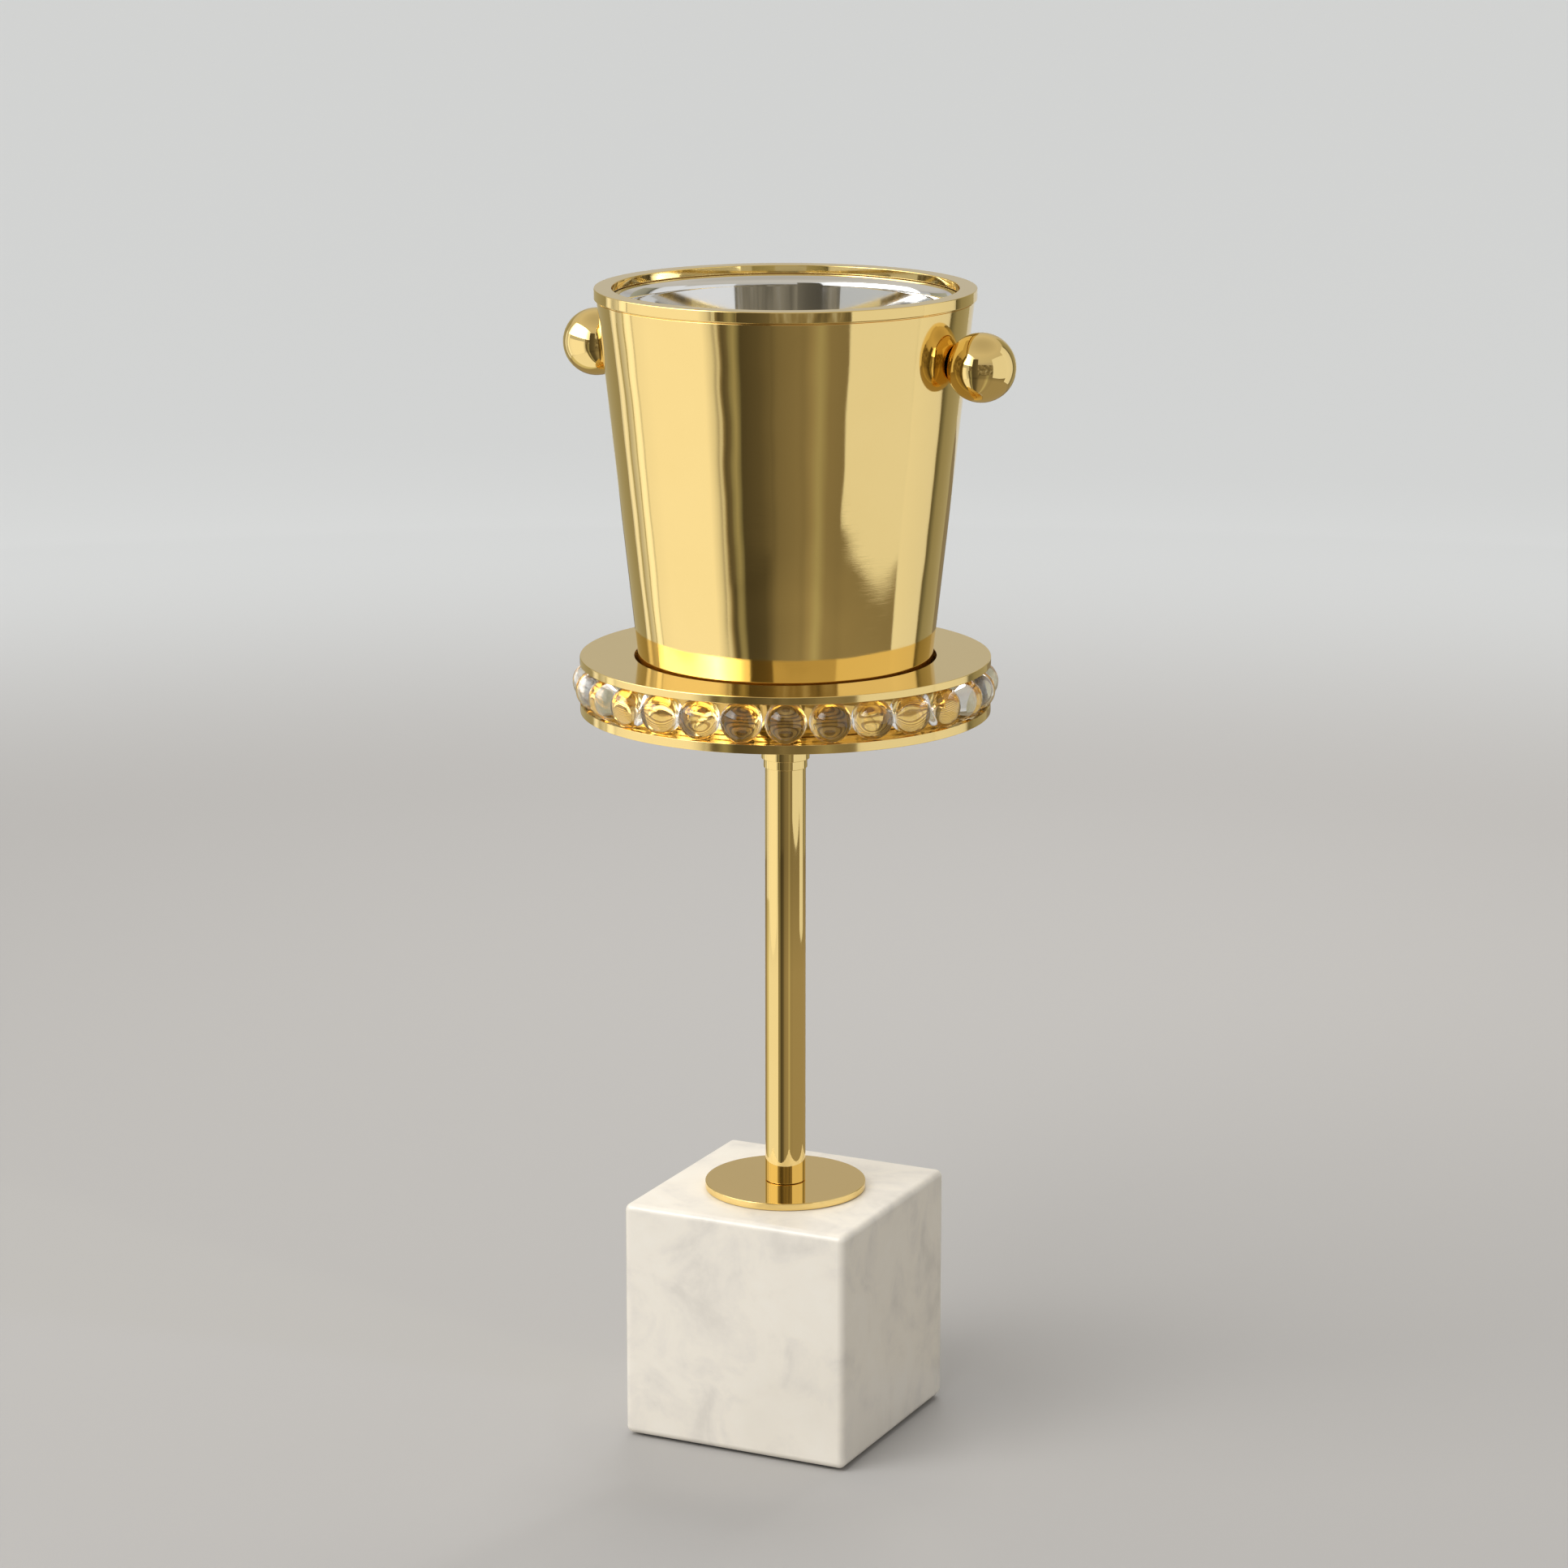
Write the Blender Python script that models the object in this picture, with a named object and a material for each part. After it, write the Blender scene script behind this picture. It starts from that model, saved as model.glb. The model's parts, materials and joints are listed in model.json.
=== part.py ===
"""Champagne bucket stand.

A marble cube carries a brass stem, and the stem carries two round plates with a ring of glass
balls between them. A loose double-walled bucket with two ball handles stands inside the ring.

Metres, +Z up. The origin is on the floor under the stem, the sides of the cube face X and Y,
and the two handles lie along X. The bucket's pieces are children of an empty that stands where
the bucket's foot rests, on the line along which the bucket lifts out.
"""

import math

import bmesh
import bpy

TAU = 2.0 * math.pi

# Fits and edges
GAP = 0.0003                    # left between two pieces that touch
EDGE = 0.0004                   # small chamfer on the edges of turned pieces
HOLE_CLEAR = 0.0003             # hole radius over screw radius

# Marble cube and the felt under it
CUBE_SIDE = 0.1524
CUBE_EDGE = 0.0045              # rounding of the cube's edges
FELT_THICK = 0.0015
FELT_INSET = 0.0012             # from the end of the rounding to the edge of the felt
FELT_CORNER = 0.006

# Bolt that holds stem, disc and marble together
BASE_BOLT_D = 0.010
BASE_BOLT_FLATS = 0.017
BASE_BOLT_HEAD = 0.0064
BASE_BOLT_GRIP = 0.020          # length inside the plug
WASHER_D = 0.030
WASHER_THICK = 0.0025
COUNTERBORE_SPACE = 0.002       # counterbore radius over washer radius
COUNTERBORE_DEPTH = 0.026

# Disc, stem, plugs and collar
FOOT_DISC_D = 0.1016
FOOT_DISC_THICK = 0.0045
STEM_D = 0.0254
STEM_WALL = 0.0015
STEM_LENGTH = 0.3048
PLUG_LENGTH = 0.028
COLLAR_WALL = 0.0023            # collar outside the stem
COLLAR_LENGTH = 0.0308
COLLAR_STEP_WALL = 0.0009       # thinner step at its lower end
COLLAR_STEP_LENGTH = 0.0056

# Countersunk bolt through the lower plate
PLATE_BOLT_D = 0.008
PLATE_BOLT_HEAD_D = 0.016
PLATE_BOLT_KEY = 0.005          # across the flats of the socket
PLATE_BOLT_KEY_DEPTH = 0.0028
PLATE_BOLT_LENGTH = 0.026

# Bucket
BUCKET_HEIGHT = 0.2564
BUCKET_TOP_D = 0.2301           # outside of the shell under the rim ring
BUCKET_FOOT_D = 0.1757
SHELL_WALL = 0.0012
SHELL_TOP_CHAMFER = 0.0008
BASE_RECESS = 0.008             # from the foot up to the base
BASE_THICK = 0.0015
RIM_WIDTH = 0.0109
RIM_HEIGHT = 0.0068
RIM_LIP = 0.0053                # height of the ring over the liner's flange
RIM_OVERHANG = 0.0015           # ring outside the shell
RIM_SKIRT = 0.0012
LINER_WALL = 0.0008
LINER_MOUTH_DROP = 0.0071       # from the flange down to the straight wall
LINER_MOUTH_STEP = 0.0071       # from the rim ring in to the straight wall
LINER_FLOOR = 0.016             # from the bucket's foot up to the liner's floor
LINER_CORNER = 0.012
LINER_LEAN = math.radians(2.1)  # how much more than the shell the liner's wall leans out

# Ball handles
HANDLE_BALL_D = 0.042
HANDLE_FLAT_D = 0.0212          # flat that meets the wall
HANDLE_DROP = 0.0392            # from the bucket's top to the handle's axis at the wall
HANDLE_SCREW_D = 0.005
HANDLE_SCREW_HEAD_D = 0.0095
HANDLE_SCREW_HEAD = 0.0032
HANDLE_SCREW_GRIP = 0.012       # length inside the ball
HANDLE_BORE_SPARE = 0.003       # bore left past the end of the screw
HANDLE_WASHER_D = 0.014
HANDLE_WASHER_THICK = 0.0012

# Plates, drum and glass balls
LOWER_PLATE_THICK = 0.0055
UPPER_PLATE_THICK = 0.00485
SEAT_CLEAR = 0.0023             # upper plate's hole outside the bucket
DRUM_STEP = 0.0015              # drum's bore outside the plate's hole
DRUM_WALL = 0.0102
GLASS_BALL_D = 0.0254
BALL_DRUM_CLEAR = 0.0013
BALL_MIN_SPACE = 0.0006         # least space between two balls
BALL_SEAT = 0.000525            # how deep a ball sits in each plate's groove
RACE_CLEAR = 0.0004             # groove radius over ball radius
PLATE_LIP = 0.008               # plate outside the balls' centre circle

# Countersunk screws up through lower plate and drum into the upper plate
RING_SCREW_COUNT = 3
RING_SCREW_D = 0.004
RING_SCREW_HEAD_D = 0.008
RING_SCREW_KEY = 0.0025
RING_SCREW_KEY_DEPTH = 0.0014
RING_SCREW_GRIP = 0.0022        # length inside the upper plate
RING_SCREW_SPARE = 0.0006       # blind hole past the end of the screw

# Facets round a turn
PLATE_SIDES = 48
BUCKET_SIDES = 48
STEM_SIDES = 28
SCREW_SIDES = 12
BALL_SIDES = 12
BALL_RINGS = 6
HANDLE_SIDES = 24
HANDLE_STEPS = 8
MOUTH_STEPS = 3

# Heights on the stand, from the floor up
CUBE_BOTTOM = FELT_THICK + GAP
CUBE_TOP = CUBE_BOTTOM + CUBE_SIDE
DISC_BOTTOM = CUBE_TOP + GAP
DISC_TOP = DISC_BOTTOM + FOOT_DISC_THICK
STEM_BOTTOM = DISC_TOP + GAP
STEM_TOP = STEM_BOTTOM + STEM_LENGTH
LOWER_BOTTOM = STEM_TOP + GAP
LOWER_TOP = LOWER_BOTTOM + LOWER_PLATE_THICK
BALL_HEIGHT = LOWER_TOP - BALL_SEAT + GLASS_BALL_D / 2.0
UPPER_BOTTOM = LOWER_TOP - 2.0 * BALL_SEAT + GLASS_BALL_D
UPPER_TOP = UPPER_BOTTOM + UPPER_PLATE_THICK
BUCKET_FOOT = LOWER_TOP + GAP

# Heights on the bucket, from its foot up
FLANGE_TOP = BUCKET_HEIGHT - RIM_LIP - GAP
SHELL_TOP = FLANGE_TOP - LINER_WALL - GAP
WALL_SLOPE = (BUCKET_TOP_D - BUCKET_FOOT_D) / 2.0 / SHELL_TOP
WALL_TILT = math.atan(WALL_SLOPE)


def shell_radius(height):
    """Outside radius of the bucket's wall at a height over its foot."""
    return BUCKET_FOOT_D / 2.0 + WALL_SLOPE * height


# Radii of the ring, from the bucket outwards
HOLE_RADIUS = shell_radius(UPPER_TOP - BUCKET_FOOT) + SEAT_CLEAR
DRUM_INNER = HOLE_RADIUS + DRUM_STEP
DRUM_OUTER = DRUM_INNER + DRUM_WALL
RING_RADIUS = DRUM_OUTER + BALL_DRUM_CLEAR + GLASS_BALL_D / 2.0
PLATE_RADIUS = RING_RADIUS + PLATE_LIP
BALL_COUNT = int(math.pi / math.asin((GLASS_BALL_D + BALL_MIN_SPACE) / 2.0 / RING_RADIUS))

# Radii of the bucket's rim
RIM_OUTER = BUCKET_TOP_D / 2.0 + RIM_OVERHANG
RIM_INNER = RIM_OUTER - RIM_WIDTH
RIM_REBATE = RIM_OUTER - RIM_SKIRT
LINER_MOUTH = RIM_INNER - LINER_MOUTH_STEP
LINER_TILT = WALL_TILT + LINER_LEAN


def clear_scene():
    """Remove what the scene holds."""
    for item in list(bpy.data.objects):
        bpy.data.objects.remove(item, do_unlink=True)


def finish_material(name, colour, metallic, roughness, clear=0.0):
    """A Principled BSDF with one colour."""
    material = bpy.data.materials.new(name)
    material.use_nodes = True
    shader = material.node_tree.nodes["Principled BSDF"]
    shader.inputs["Base Color"].default_value = (*colour, 1.0)
    shader.inputs["Metallic"].default_value = metallic
    shader.inputs["Roughness"].default_value = roughness
    shader.inputs["Transmission Weight"].default_value = clear
    material.diffuse_color = (*colour, 1.0)
    return material


def brass(name, roughness=0.1):
    """Polished yellow brass."""
    return finish_material(name, (0.80, 0.58, 0.25), 1.0, roughness)


def steel(name, roughness=0.3):
    """Plain steel, as on screws and washers."""
    return finish_material(name, (0.60, 0.60, 0.60), 1.0, roughness)


def make_object(name, mesh, material=None, parent=None):
    """Turn a bmesh into a named, smooth-shaded object."""
    data = bpy.data.meshes.new(name)
    mesh.to_mesh(data)
    mesh.free()
    if material is not None:
        data.materials.append(material)
    data.shade_smooth()
    data.set_sharp_from_angle(angle=math.radians(35.0))
    item = bpy.data.objects.new(name, data)
    item.parent = parent
    bpy.context.scene.collection.objects.link(item)
    return item


def close_up(mesh):
    """Merge the seam of a turned shape and point its faces outwards."""
    bmesh.ops.remove_doubles(mesh, verts=mesh.verts, dist=1e-7)
    bmesh.ops.dissolve_degenerate(mesh, edges=mesh.edges, dist=1e-7)
    bmesh.ops.recalc_face_normals(mesh, faces=mesh.faces)


def turned(name, outline, sides, material=None, parent=None):
    """Turn an outline of (radius, height) points round Z.

    An outline that starts and ends on the axis is a solid one; any other is closed to a ring.
    """
    mesh = bmesh.new()
    points = [mesh.verts.new((radius, 0.0, height)) for radius, height in outline]
    edges = [mesh.edges.new(pair) for pair in zip(points, points[1:])]
    if outline[0][0] > 0.0 or outline[-1][0] > 0.0:
        edges.append(mesh.edges.new((points[-1], points[0])))
    bmesh.ops.spin(
        mesh,
        geom=points + edges,
        cent=(0.0, 0.0, 0.0),
        axis=(0.0, 0.0, 1.0),
        angle=TAU,
        steps=sides,
        use_merge=True,
    )
    close_up(mesh)
    return make_object(name, mesh, material, parent)


def circle(diameter):
    """Reach of a round section in every direction."""
    return lambda angle: diameter / 2.0


def hexagon(flats):
    """Reach of a hexagonal section, measured across its flats."""
    sixth = TAU / 6.0
    return lambda angle: flats / 2.0 / math.cos(angle % sixth - sixth / 2.0)


def skinned(name, sections, sides, material=None, parent=None):
    """Skin a stack of (height, reach) sections along Z and cap both ends."""
    mesh = bmesh.new()
    loops = []
    for height, reach in sections:
        loop = []
        for step in range(sides):
            angle = TAU * step / sides
            radius = reach(angle)
            loop.append(mesh.verts.new((radius * math.cos(angle), radius * math.sin(angle), height)))
        loops.append(loop)
    for lower, upper in zip(loops, loops[1:]):
        for step in range(sides):
            after = (step + 1) % sides
            mesh.faces.new((lower[step], lower[after], upper[after], upper[step]))
    mesh.faces.new(loops[0])
    mesh.faces.new(loops[-1])
    close_up(mesh)
    return make_object(name, mesh, material, parent)


def cutter(item):
    """Mark an object as a tool that only cuts."""
    item.hide_render = True
    item.display_type = "WIRE"
    return item


def cut(target, tool):
    """Take a tool's shape out of a piece."""
    modifier = target.modifiers.new(tool.name, "BOOLEAN")
    modifier.operation = "DIFFERENCE"
    modifier.solver = "EXACT"
    modifier.object = tool


def arc(centre, radius, start, end, steps):
    """Points of an arc in the outline plane, angles in degrees from the radial direction."""
    points = []
    for step in range(steps + 1):
        angle = math.radians(start + (end - start) * step / steps)
        points.append((centre[0] + radius * math.cos(angle), centre[1] + radius * math.sin(angle)))
    return points


def ring_outline(inner, outer, bottom, top, edge=EDGE):
    """Rectangle of a flat ring with its outer edges broken."""
    return [
        (inner, bottom),
        (outer - edge, bottom),
        (outer, bottom + edge),
        (outer, top - edge),
        (outer - edge, top),
        (inner, top),
    ]


# ---- base ---------------------------------------------------------------------------------------

def felt_pad():
    """Square felt sheet with round corners, glued under the marble."""
    half = CUBE_SIDE / 2.0 - CUBE_EDGE - FELT_INSET
    centre = half - FELT_CORNER
    outline = []
    for corner in range(4):
        turn = 90.0 * corner
        middle = (
            centre * math.sqrt(2.0) * math.cos(math.radians(turn + 45.0)),
            centre * math.sqrt(2.0) * math.sin(math.radians(turn + 45.0)),
        )
        outline += arc(middle, FELT_CORNER, turn, turn + 90.0, 4)
    mesh = bmesh.new()
    face = mesh.faces.new([mesh.verts.new((x, y, 0.0)) for x, y in outline])
    raised = bmesh.ops.extrude_face_region(mesh, geom=[face])
    top = [part for part in raised["geom"] if isinstance(part, bmesh.types.BMVert)]
    bmesh.ops.translate(mesh, verts=top, vec=(0.0, 0.0, FELT_THICK))
    close_up(mesh)
    make_object("felt_pad", mesh, finish_material("grey_felt", (0.10, 0.10, 0.10), 0.0, 0.95))


def marble_base():
    """Marble cube with rounded edges, bored for the base bolt and counterbored from below."""
    mesh = bmesh.new()
    bmesh.ops.create_cube(mesh, size=CUBE_SIDE)
    bmesh.ops.translate(mesh, verts=mesh.verts, vec=(0.0, 0.0, CUBE_BOTTOM + CUBE_SIDE / 2.0))
    cube = make_object("marble_base", mesh, finish_material("marble", (0.86, 0.85, 0.82), 0.0, 0.25))
    bevel = cube.modifiers.new("round_edges", "BEVEL")
    bevel.width = CUBE_EDGE
    bevel.segments = 3
    bevel.limit_method = "NONE"
    bore = circle(BASE_BOLT_D + 4.0 * HOLE_CLEAR)
    pocket = circle(WASHER_D + 2.0 * COUNTERBORE_SPACE)
    sections = [
        (CUBE_BOTTOM - CUBE_EDGE, pocket),
        (CUBE_BOTTOM + COUNTERBORE_DEPTH, pocket),
        (CUBE_BOTTOM + COUNTERBORE_DEPTH, bore),
        (CUBE_TOP + CUBE_EDGE, bore),
    ]
    cut(cube, cutter(skinned("marble_bore", sections, 24)))


def base_fasteners():
    """Washer and hex bolt in the counterbore."""
    washer_top = CUBE_BOTTOM + COUNTERBORE_DEPTH - GAP
    washer_bottom = washer_top - WASHER_THICK
    washer_bore = BASE_BOLT_D / 2.0 + HOLE_CLEAR
    outline = ring_outline(washer_bore, WASHER_D / 2.0, washer_bottom, washer_top)
    turned("base_washer", outline, 24, steel("zinc_washer"))
    head_top = washer_bottom - GAP
    sections = [
        (head_top - BASE_BOLT_HEAD, hexagon(BASE_BOLT_FLATS)),
        (head_top, hexagon(BASE_BOLT_FLATS)),
        (head_top, circle(BASE_BOLT_D)),
        (STEM_BOTTOM + BASE_BOLT_GRIP, circle(BASE_BOLT_D)),
    ]
    skinned("base_bolt", sections, SCREW_SIDES, steel("zinc_bolt"))


def foot_disc():
    """Round brass disc between marble and stem."""
    bore = BASE_BOLT_D / 2.0 + HOLE_CLEAR
    outline = ring_outline(bore, FOOT_DISC_D / 2.0, DISC_BOTTOM, DISC_TOP)
    turned("foot_disc", outline, PLATE_SIDES, brass("brass_foot_disc"))


# ---- stem ---------------------------------------------------------------------------------------

def stem():
    """Brass tube with a tapped plug in each end and a stepped collar at the top."""
    outer = STEM_D / 2.0
    inner = outer - STEM_WALL
    tube = [(inner, STEM_BOTTOM), (outer, STEM_BOTTOM), (outer, STEM_TOP), (inner, STEM_TOP)]
    turned("stem_tube", tube, STEM_SIDES, brass("brass_stem"))

    plug_radius = inner - GAP
    foot_bore = BASE_BOLT_D / 2.0 + HOLE_CLEAR
    foot_plug = ring_outline(foot_bore, plug_radius, STEM_BOTTOM, STEM_BOTTOM + PLUG_LENGTH)
    turned("stem_foot_plug", foot_plug, STEM_SIDES, brass("brass_foot_plug", 0.35))
    head_bore = PLATE_BOLT_D / 2.0 + HOLE_CLEAR
    head_plug = ring_outline(head_bore, plug_radius, STEM_TOP - PLUG_LENGTH, STEM_TOP)
    turned("stem_head_plug", head_plug, STEM_SIDES, brass("brass_head_plug", 0.35))

    bore = outer + GAP
    wide = outer + COLLAR_WALL
    narrow = outer + COLLAR_STEP_WALL
    step_top = STEM_TOP - COLLAR_LENGTH
    step_bottom = step_top - COLLAR_STEP_LENGTH
    collar = [
        (bore, step_bottom),
        (narrow, step_bottom),
        (narrow, step_top),
        (wide - EDGE, step_top),
        (wide, step_top + EDGE),
        (wide, STEM_TOP),
        (bore, STEM_TOP),
    ]
    turned("stem_collar", collar, STEM_SIDES, brass("brass_collar"))


# ---- plates and glass ring ----------------------------------------------------------------------

def race(side):
    """Groove in a plate's face, going outwards; side is -1 below the balls and 1 above them."""
    radius = GLASS_BALL_D / 2.0 + RACE_CLEAR
    face = GLASS_BALL_D / 2.0 - BALL_SEAT
    half_angle = math.degrees(math.acos(face / radius))
    start = 90.0 * side + side * half_angle
    end = 90.0 * side - side * half_angle
    return arc((RING_RADIUS, BALL_HEIGHT), radius, start, end, 4)


def screw_places():
    """Centres of the ring screws, spread evenly round the drum."""
    reach = (DRUM_INNER + DRUM_OUTER) / 2.0
    angles = [TAU * (number + 0.25) / RING_SCREW_COUNT for number in range(RING_SCREW_COUNT)]
    return [(reach * math.cos(angle), reach * math.sin(angle)) for angle in angles]


def ring_drills(name, sections):
    """One drill at each ring screw, all as tools of the same shape."""
    tools = []
    for number, (x, y) in enumerate(screw_places(), start=1):
        tool = cutter(skinned(f"{name}_{number}", sections, SCREW_SIDES))
        tool.location = (x, y, 0.0)
        tools.append(tool)
    return tools


def lower_plate():
    """Plate on the stem, with the lower groove and countersinks for its screws."""
    hole = PLATE_BOLT_D / 2.0 + HOLE_CLEAR
    sink = PLATE_BOLT_HEAD_D / 2.0 + HOLE_CLEAR
    outline = [
        (hole, LOWER_BOTTOM),
        (PLATE_RADIUS - EDGE, LOWER_BOTTOM),
        (PLATE_RADIUS, LOWER_BOTTOM + EDGE),
        (PLATE_RADIUS, LOWER_TOP - EDGE),
        (PLATE_RADIUS - EDGE, LOWER_TOP),
        *reversed(race(-1)),
        (sink, LOWER_TOP),
        (hole, LOWER_TOP - sink + hole),
    ]
    plate = turned("lower_plate", outline, PLATE_SIDES, brass("brass_lower_plate"))
    wide = RING_SCREW_HEAD_D / 2.0 + HOLE_CLEAR
    narrow = RING_SCREW_D / 2.0 + HOLE_CLEAR
    beyond = 0.001
    sections = [
        (LOWER_BOTTOM - beyond, circle(2.0 * (wide + beyond))),
        (LOWER_BOTTOM + wide - narrow, circle(2.0 * narrow)),
        (LOWER_TOP + beyond, circle(2.0 * narrow)),
    ]
    for tool in ring_drills("lower_drill", sections):
        cut(plate, tool)


def drum():
    """Brass ring behind the balls that keeps the plates apart."""
    outline = [
        (DRUM_INNER, LOWER_TOP + GAP),
        (DRUM_OUTER, LOWER_TOP + GAP),
        (DRUM_OUTER, UPPER_BOTTOM - GAP),
        (DRUM_INNER, UPPER_BOTTOM - GAP),
    ]
    ring = turned("drum_ring", outline, PLATE_SIDES, brass("brass_drum"))
    bore = circle(RING_SCREW_D + 2.0 * HOLE_CLEAR)
    for tool in ring_drills("drum_drill", [(LOWER_BOTTOM, bore), (UPPER_TOP, bore)]):
        cut(ring, tool)


def upper_plate():
    """Ring-shaped plate over the balls, with blind holes for the ring screws."""
    outline = [
        (HOLE_RADIUS, UPPER_BOTTOM),
        *race(1),
        (PLATE_RADIUS - EDGE, UPPER_BOTTOM),
        (PLATE_RADIUS, UPPER_BOTTOM + EDGE),
        (PLATE_RADIUS, UPPER_TOP - EDGE),
        (PLATE_RADIUS - EDGE, UPPER_TOP),
        (HOLE_RADIUS + EDGE, UPPER_TOP),
        (HOLE_RADIUS, UPPER_TOP - EDGE),
    ]
    plate = turned("upper_plate", outline, PLATE_SIDES, brass("brass_upper_plate"))
    bore = circle(RING_SCREW_D + 2.0 * HOLE_CLEAR)
    hole_end = UPPER_BOTTOM + RING_SCREW_GRIP + RING_SCREW_SPARE
    for tool in ring_drills("upper_drill", [(LOWER_TOP, bore), (hole_end, bore)]):
        cut(plate, tool)


def plate_bolt():
    """Countersunk bolt down through the lower plate into the stem's head plug."""
    head_top = LOWER_TOP - GAP
    wide = PLATE_BOLT_HEAD_D
    narrow = PLATE_BOLT_D
    sections = [
        (head_top - PLATE_BOLT_LENGTH, circle(narrow)),
        (head_top - (wide - narrow) / 2.0, circle(narrow)),
        (head_top, circle(wide)),
        (head_top, hexagon(PLATE_BOLT_KEY)),
        (head_top - PLATE_BOLT_KEY_DEPTH, hexagon(PLATE_BOLT_KEY)),
    ]
    skinned("plate_bolt", sections, SCREW_SIDES, steel("zinc_plate_bolt"))


def ring_screws():
    """Countersunk screws from below that clamp plates and drum together."""
    material = brass("brass_ring_screw", 0.2)
    head = LOWER_BOTTOM + GAP
    wide = RING_SCREW_HEAD_D
    narrow = RING_SCREW_D
    sections = [
        (head + RING_SCREW_KEY_DEPTH, hexagon(RING_SCREW_KEY)),
        (head, hexagon(RING_SCREW_KEY)),
        (head, circle(wide)),
        (head + (wide - narrow) / 2.0, circle(narrow)),
        (UPPER_BOTTOM + RING_SCREW_GRIP, circle(narrow)),
    ]
    for number, (x, y) in enumerate(screw_places(), start=1):
        screw = skinned(f"ring_screw_{number}", sections, SCREW_SIDES, material)
        screw.location = (x, y, 0.0)


def glass_balls():
    """Clear glass balls held in the grooves, the first one at the front."""
    material = finish_material("clear_glass", (0.95, 0.95, 0.95), 0.0, 0.02, clear=1.0)
    for number in range(BALL_COUNT):
        angle = TAU * number / BALL_COUNT
        mesh = bmesh.new()
        bmesh.ops.create_uvsphere(
            mesh,
            u_segments=BALL_SIDES,
            v_segments=BALL_RINGS,
            radius=GLASS_BALL_D / 2.0,
        )
        ball = make_object(f"glass_ball_{number + 1:02d}", mesh, material)
        ball.location = (RING_RADIUS * math.sin(angle), -RING_RADIUS * math.cos(angle), BALL_HEIGHT)
        ball.rotation_euler = (0.0, 0.0, angle)


# ---- bucket -------------------------------------------------------------------------------------

def bucket_frame():
    """Empty at the middle of the bucket's foot, on the line it lifts along."""
    frame = bpy.data.objects.new("bucket_axis", None)
    frame.location = (0.0, 0.0, BUCKET_FOOT)
    bpy.context.scene.collection.objects.link(frame)
    return frame


def handle_frame(item, side):
    """Lay a piece's Z along the handle's axis, with its zero on the outside of the wall."""
    height = BUCKET_HEIGHT - HANDLE_DROP
    item.location = (side * shell_radius(height), 0.0, height)
    item.rotation_euler = (0.0, math.pi / 2.0 + WALL_TILT, 0.0 if side > 0 else math.pi)


def bucket_shell(frame):
    """Tapered brass wall, drilled for the handle screws."""
    outline = [
        (shell_radius(0.0) - SHELL_WALL, 0.0),
        (shell_radius(0.0), 0.0),
        (shell_radius(SHELL_TOP - SHELL_TOP_CHAMFER), SHELL_TOP - SHELL_TOP_CHAMFER),
        (shell_radius(SHELL_TOP) - SHELL_TOP_CHAMFER, SHELL_TOP),
        (shell_radius(SHELL_TOP) - SHELL_WALL, SHELL_TOP),
    ]
    shell = turned("bucket_shell", outline, BUCKET_SIDES, brass("brass_shell"), frame)
    bore = circle(HANDLE_SCREW_D + 2.0 * HOLE_CLEAR)
    reach = HANDLE_BALL_D / 4.0
    for side, word in ((1, "right"), (-1, "left")):
        sections = [(-reach, bore), (reach, bore)]
        tool = cutter(skinned(f"wall_drill_{word}", sections, SCREW_SIDES, None, frame))
        handle_frame(tool, side)
        cut(shell, tool)


def bucket_base(frame):
    """Brass pan that closes the bottom, set up inside the foot."""
    top = BASE_RECESS + BASE_THICK
    skirt = BASE_RECESS / 2.0

    def edge(height):
        return shell_radius(height) - SHELL_WALL - GAP

    outline = [
        (0.0, BASE_RECESS),
        (edge(BASE_RECESS) - BASE_THICK, BASE_RECESS),
        (edge(skirt) - BASE_THICK, skirt),
        (edge(skirt), skirt),
        (edge(top), top),
        (0.0, top),
    ]
    turned("bucket_base", outline, BUCKET_SIDES, brass("brass_base", 0.3), frame)


def rim_ring(frame):
    """Flat-topped ring that clamps the liner's flange on the shell."""
    top = BUCKET_HEIGHT
    outline = [
        (RIM_INNER, top - RIM_LIP),
        (RIM_REBATE, top - RIM_LIP),
        (RIM_REBATE, top - RIM_HEIGHT),
        (RIM_OUTER, top - RIM_HEIGHT),
        (RIM_OUTER, top - EDGE),
        (RIM_OUTER - EDGE, top),
        (RIM_INNER + EDGE, top),
        (RIM_INNER, top - EDGE),
    ]
    turned("rim_ring", outline, BUCKET_SIDES, brass("brass_rim"), frame)


def liner_skin(offset):
    """Liner's surface from flange to floor, pushed outwards by an offset."""
    mouth = LINER_MOUTH + offset
    wall_top = FLANGE_TOP - LINER_MOUTH_DROP
    floor = LINER_FLOOR - offset
    corner = LINER_CORNER + offset
    points = []
    for step in range(MOUTH_STEPS + 1):
        angle = math.pi / 2.0 * step / MOUTH_STEPS
        radius = RIM_INNER - (LINER_MOUTH_STEP - offset) * math.sin(angle)
        height = wall_top + (LINER_MOUTH_DROP - offset) * math.cos(angle)
        points.append((radius, height))
    corner_height = floor + corner * (1.0 - math.sin(LINER_TILT))
    corner_wall = mouth - math.tan(LINER_TILT) * (wall_top - corner_height)
    centre = (corner_wall - corner * math.cos(LINER_TILT), floor + corner)
    points += arc(centre, corner, -math.degrees(LINER_TILT), -90.0, MOUTH_STEPS)
    return points


def liner(frame):
    """Polished steel liner with a rolled mouth and a flange under the rim ring."""
    flange = BUCKET_TOP_D / 2.0
    under = FLANGE_TOP - LINER_WALL
    below = LINER_FLOOR - LINER_WALL
    inside = [(flange, FLANGE_TOP), *liner_skin(0.0), (0.0, LINER_FLOOR)]
    outside = [(flange, under), *liner_skin(LINER_WALL), (0.0, below)]
    outline = [*reversed(inside), *outside]
    material = finish_material("polished_steel", (0.78, 0.78, 0.77), 1.0, 0.08)
    turned("liner", outline, BUCKET_SIDES, material, frame)


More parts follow.
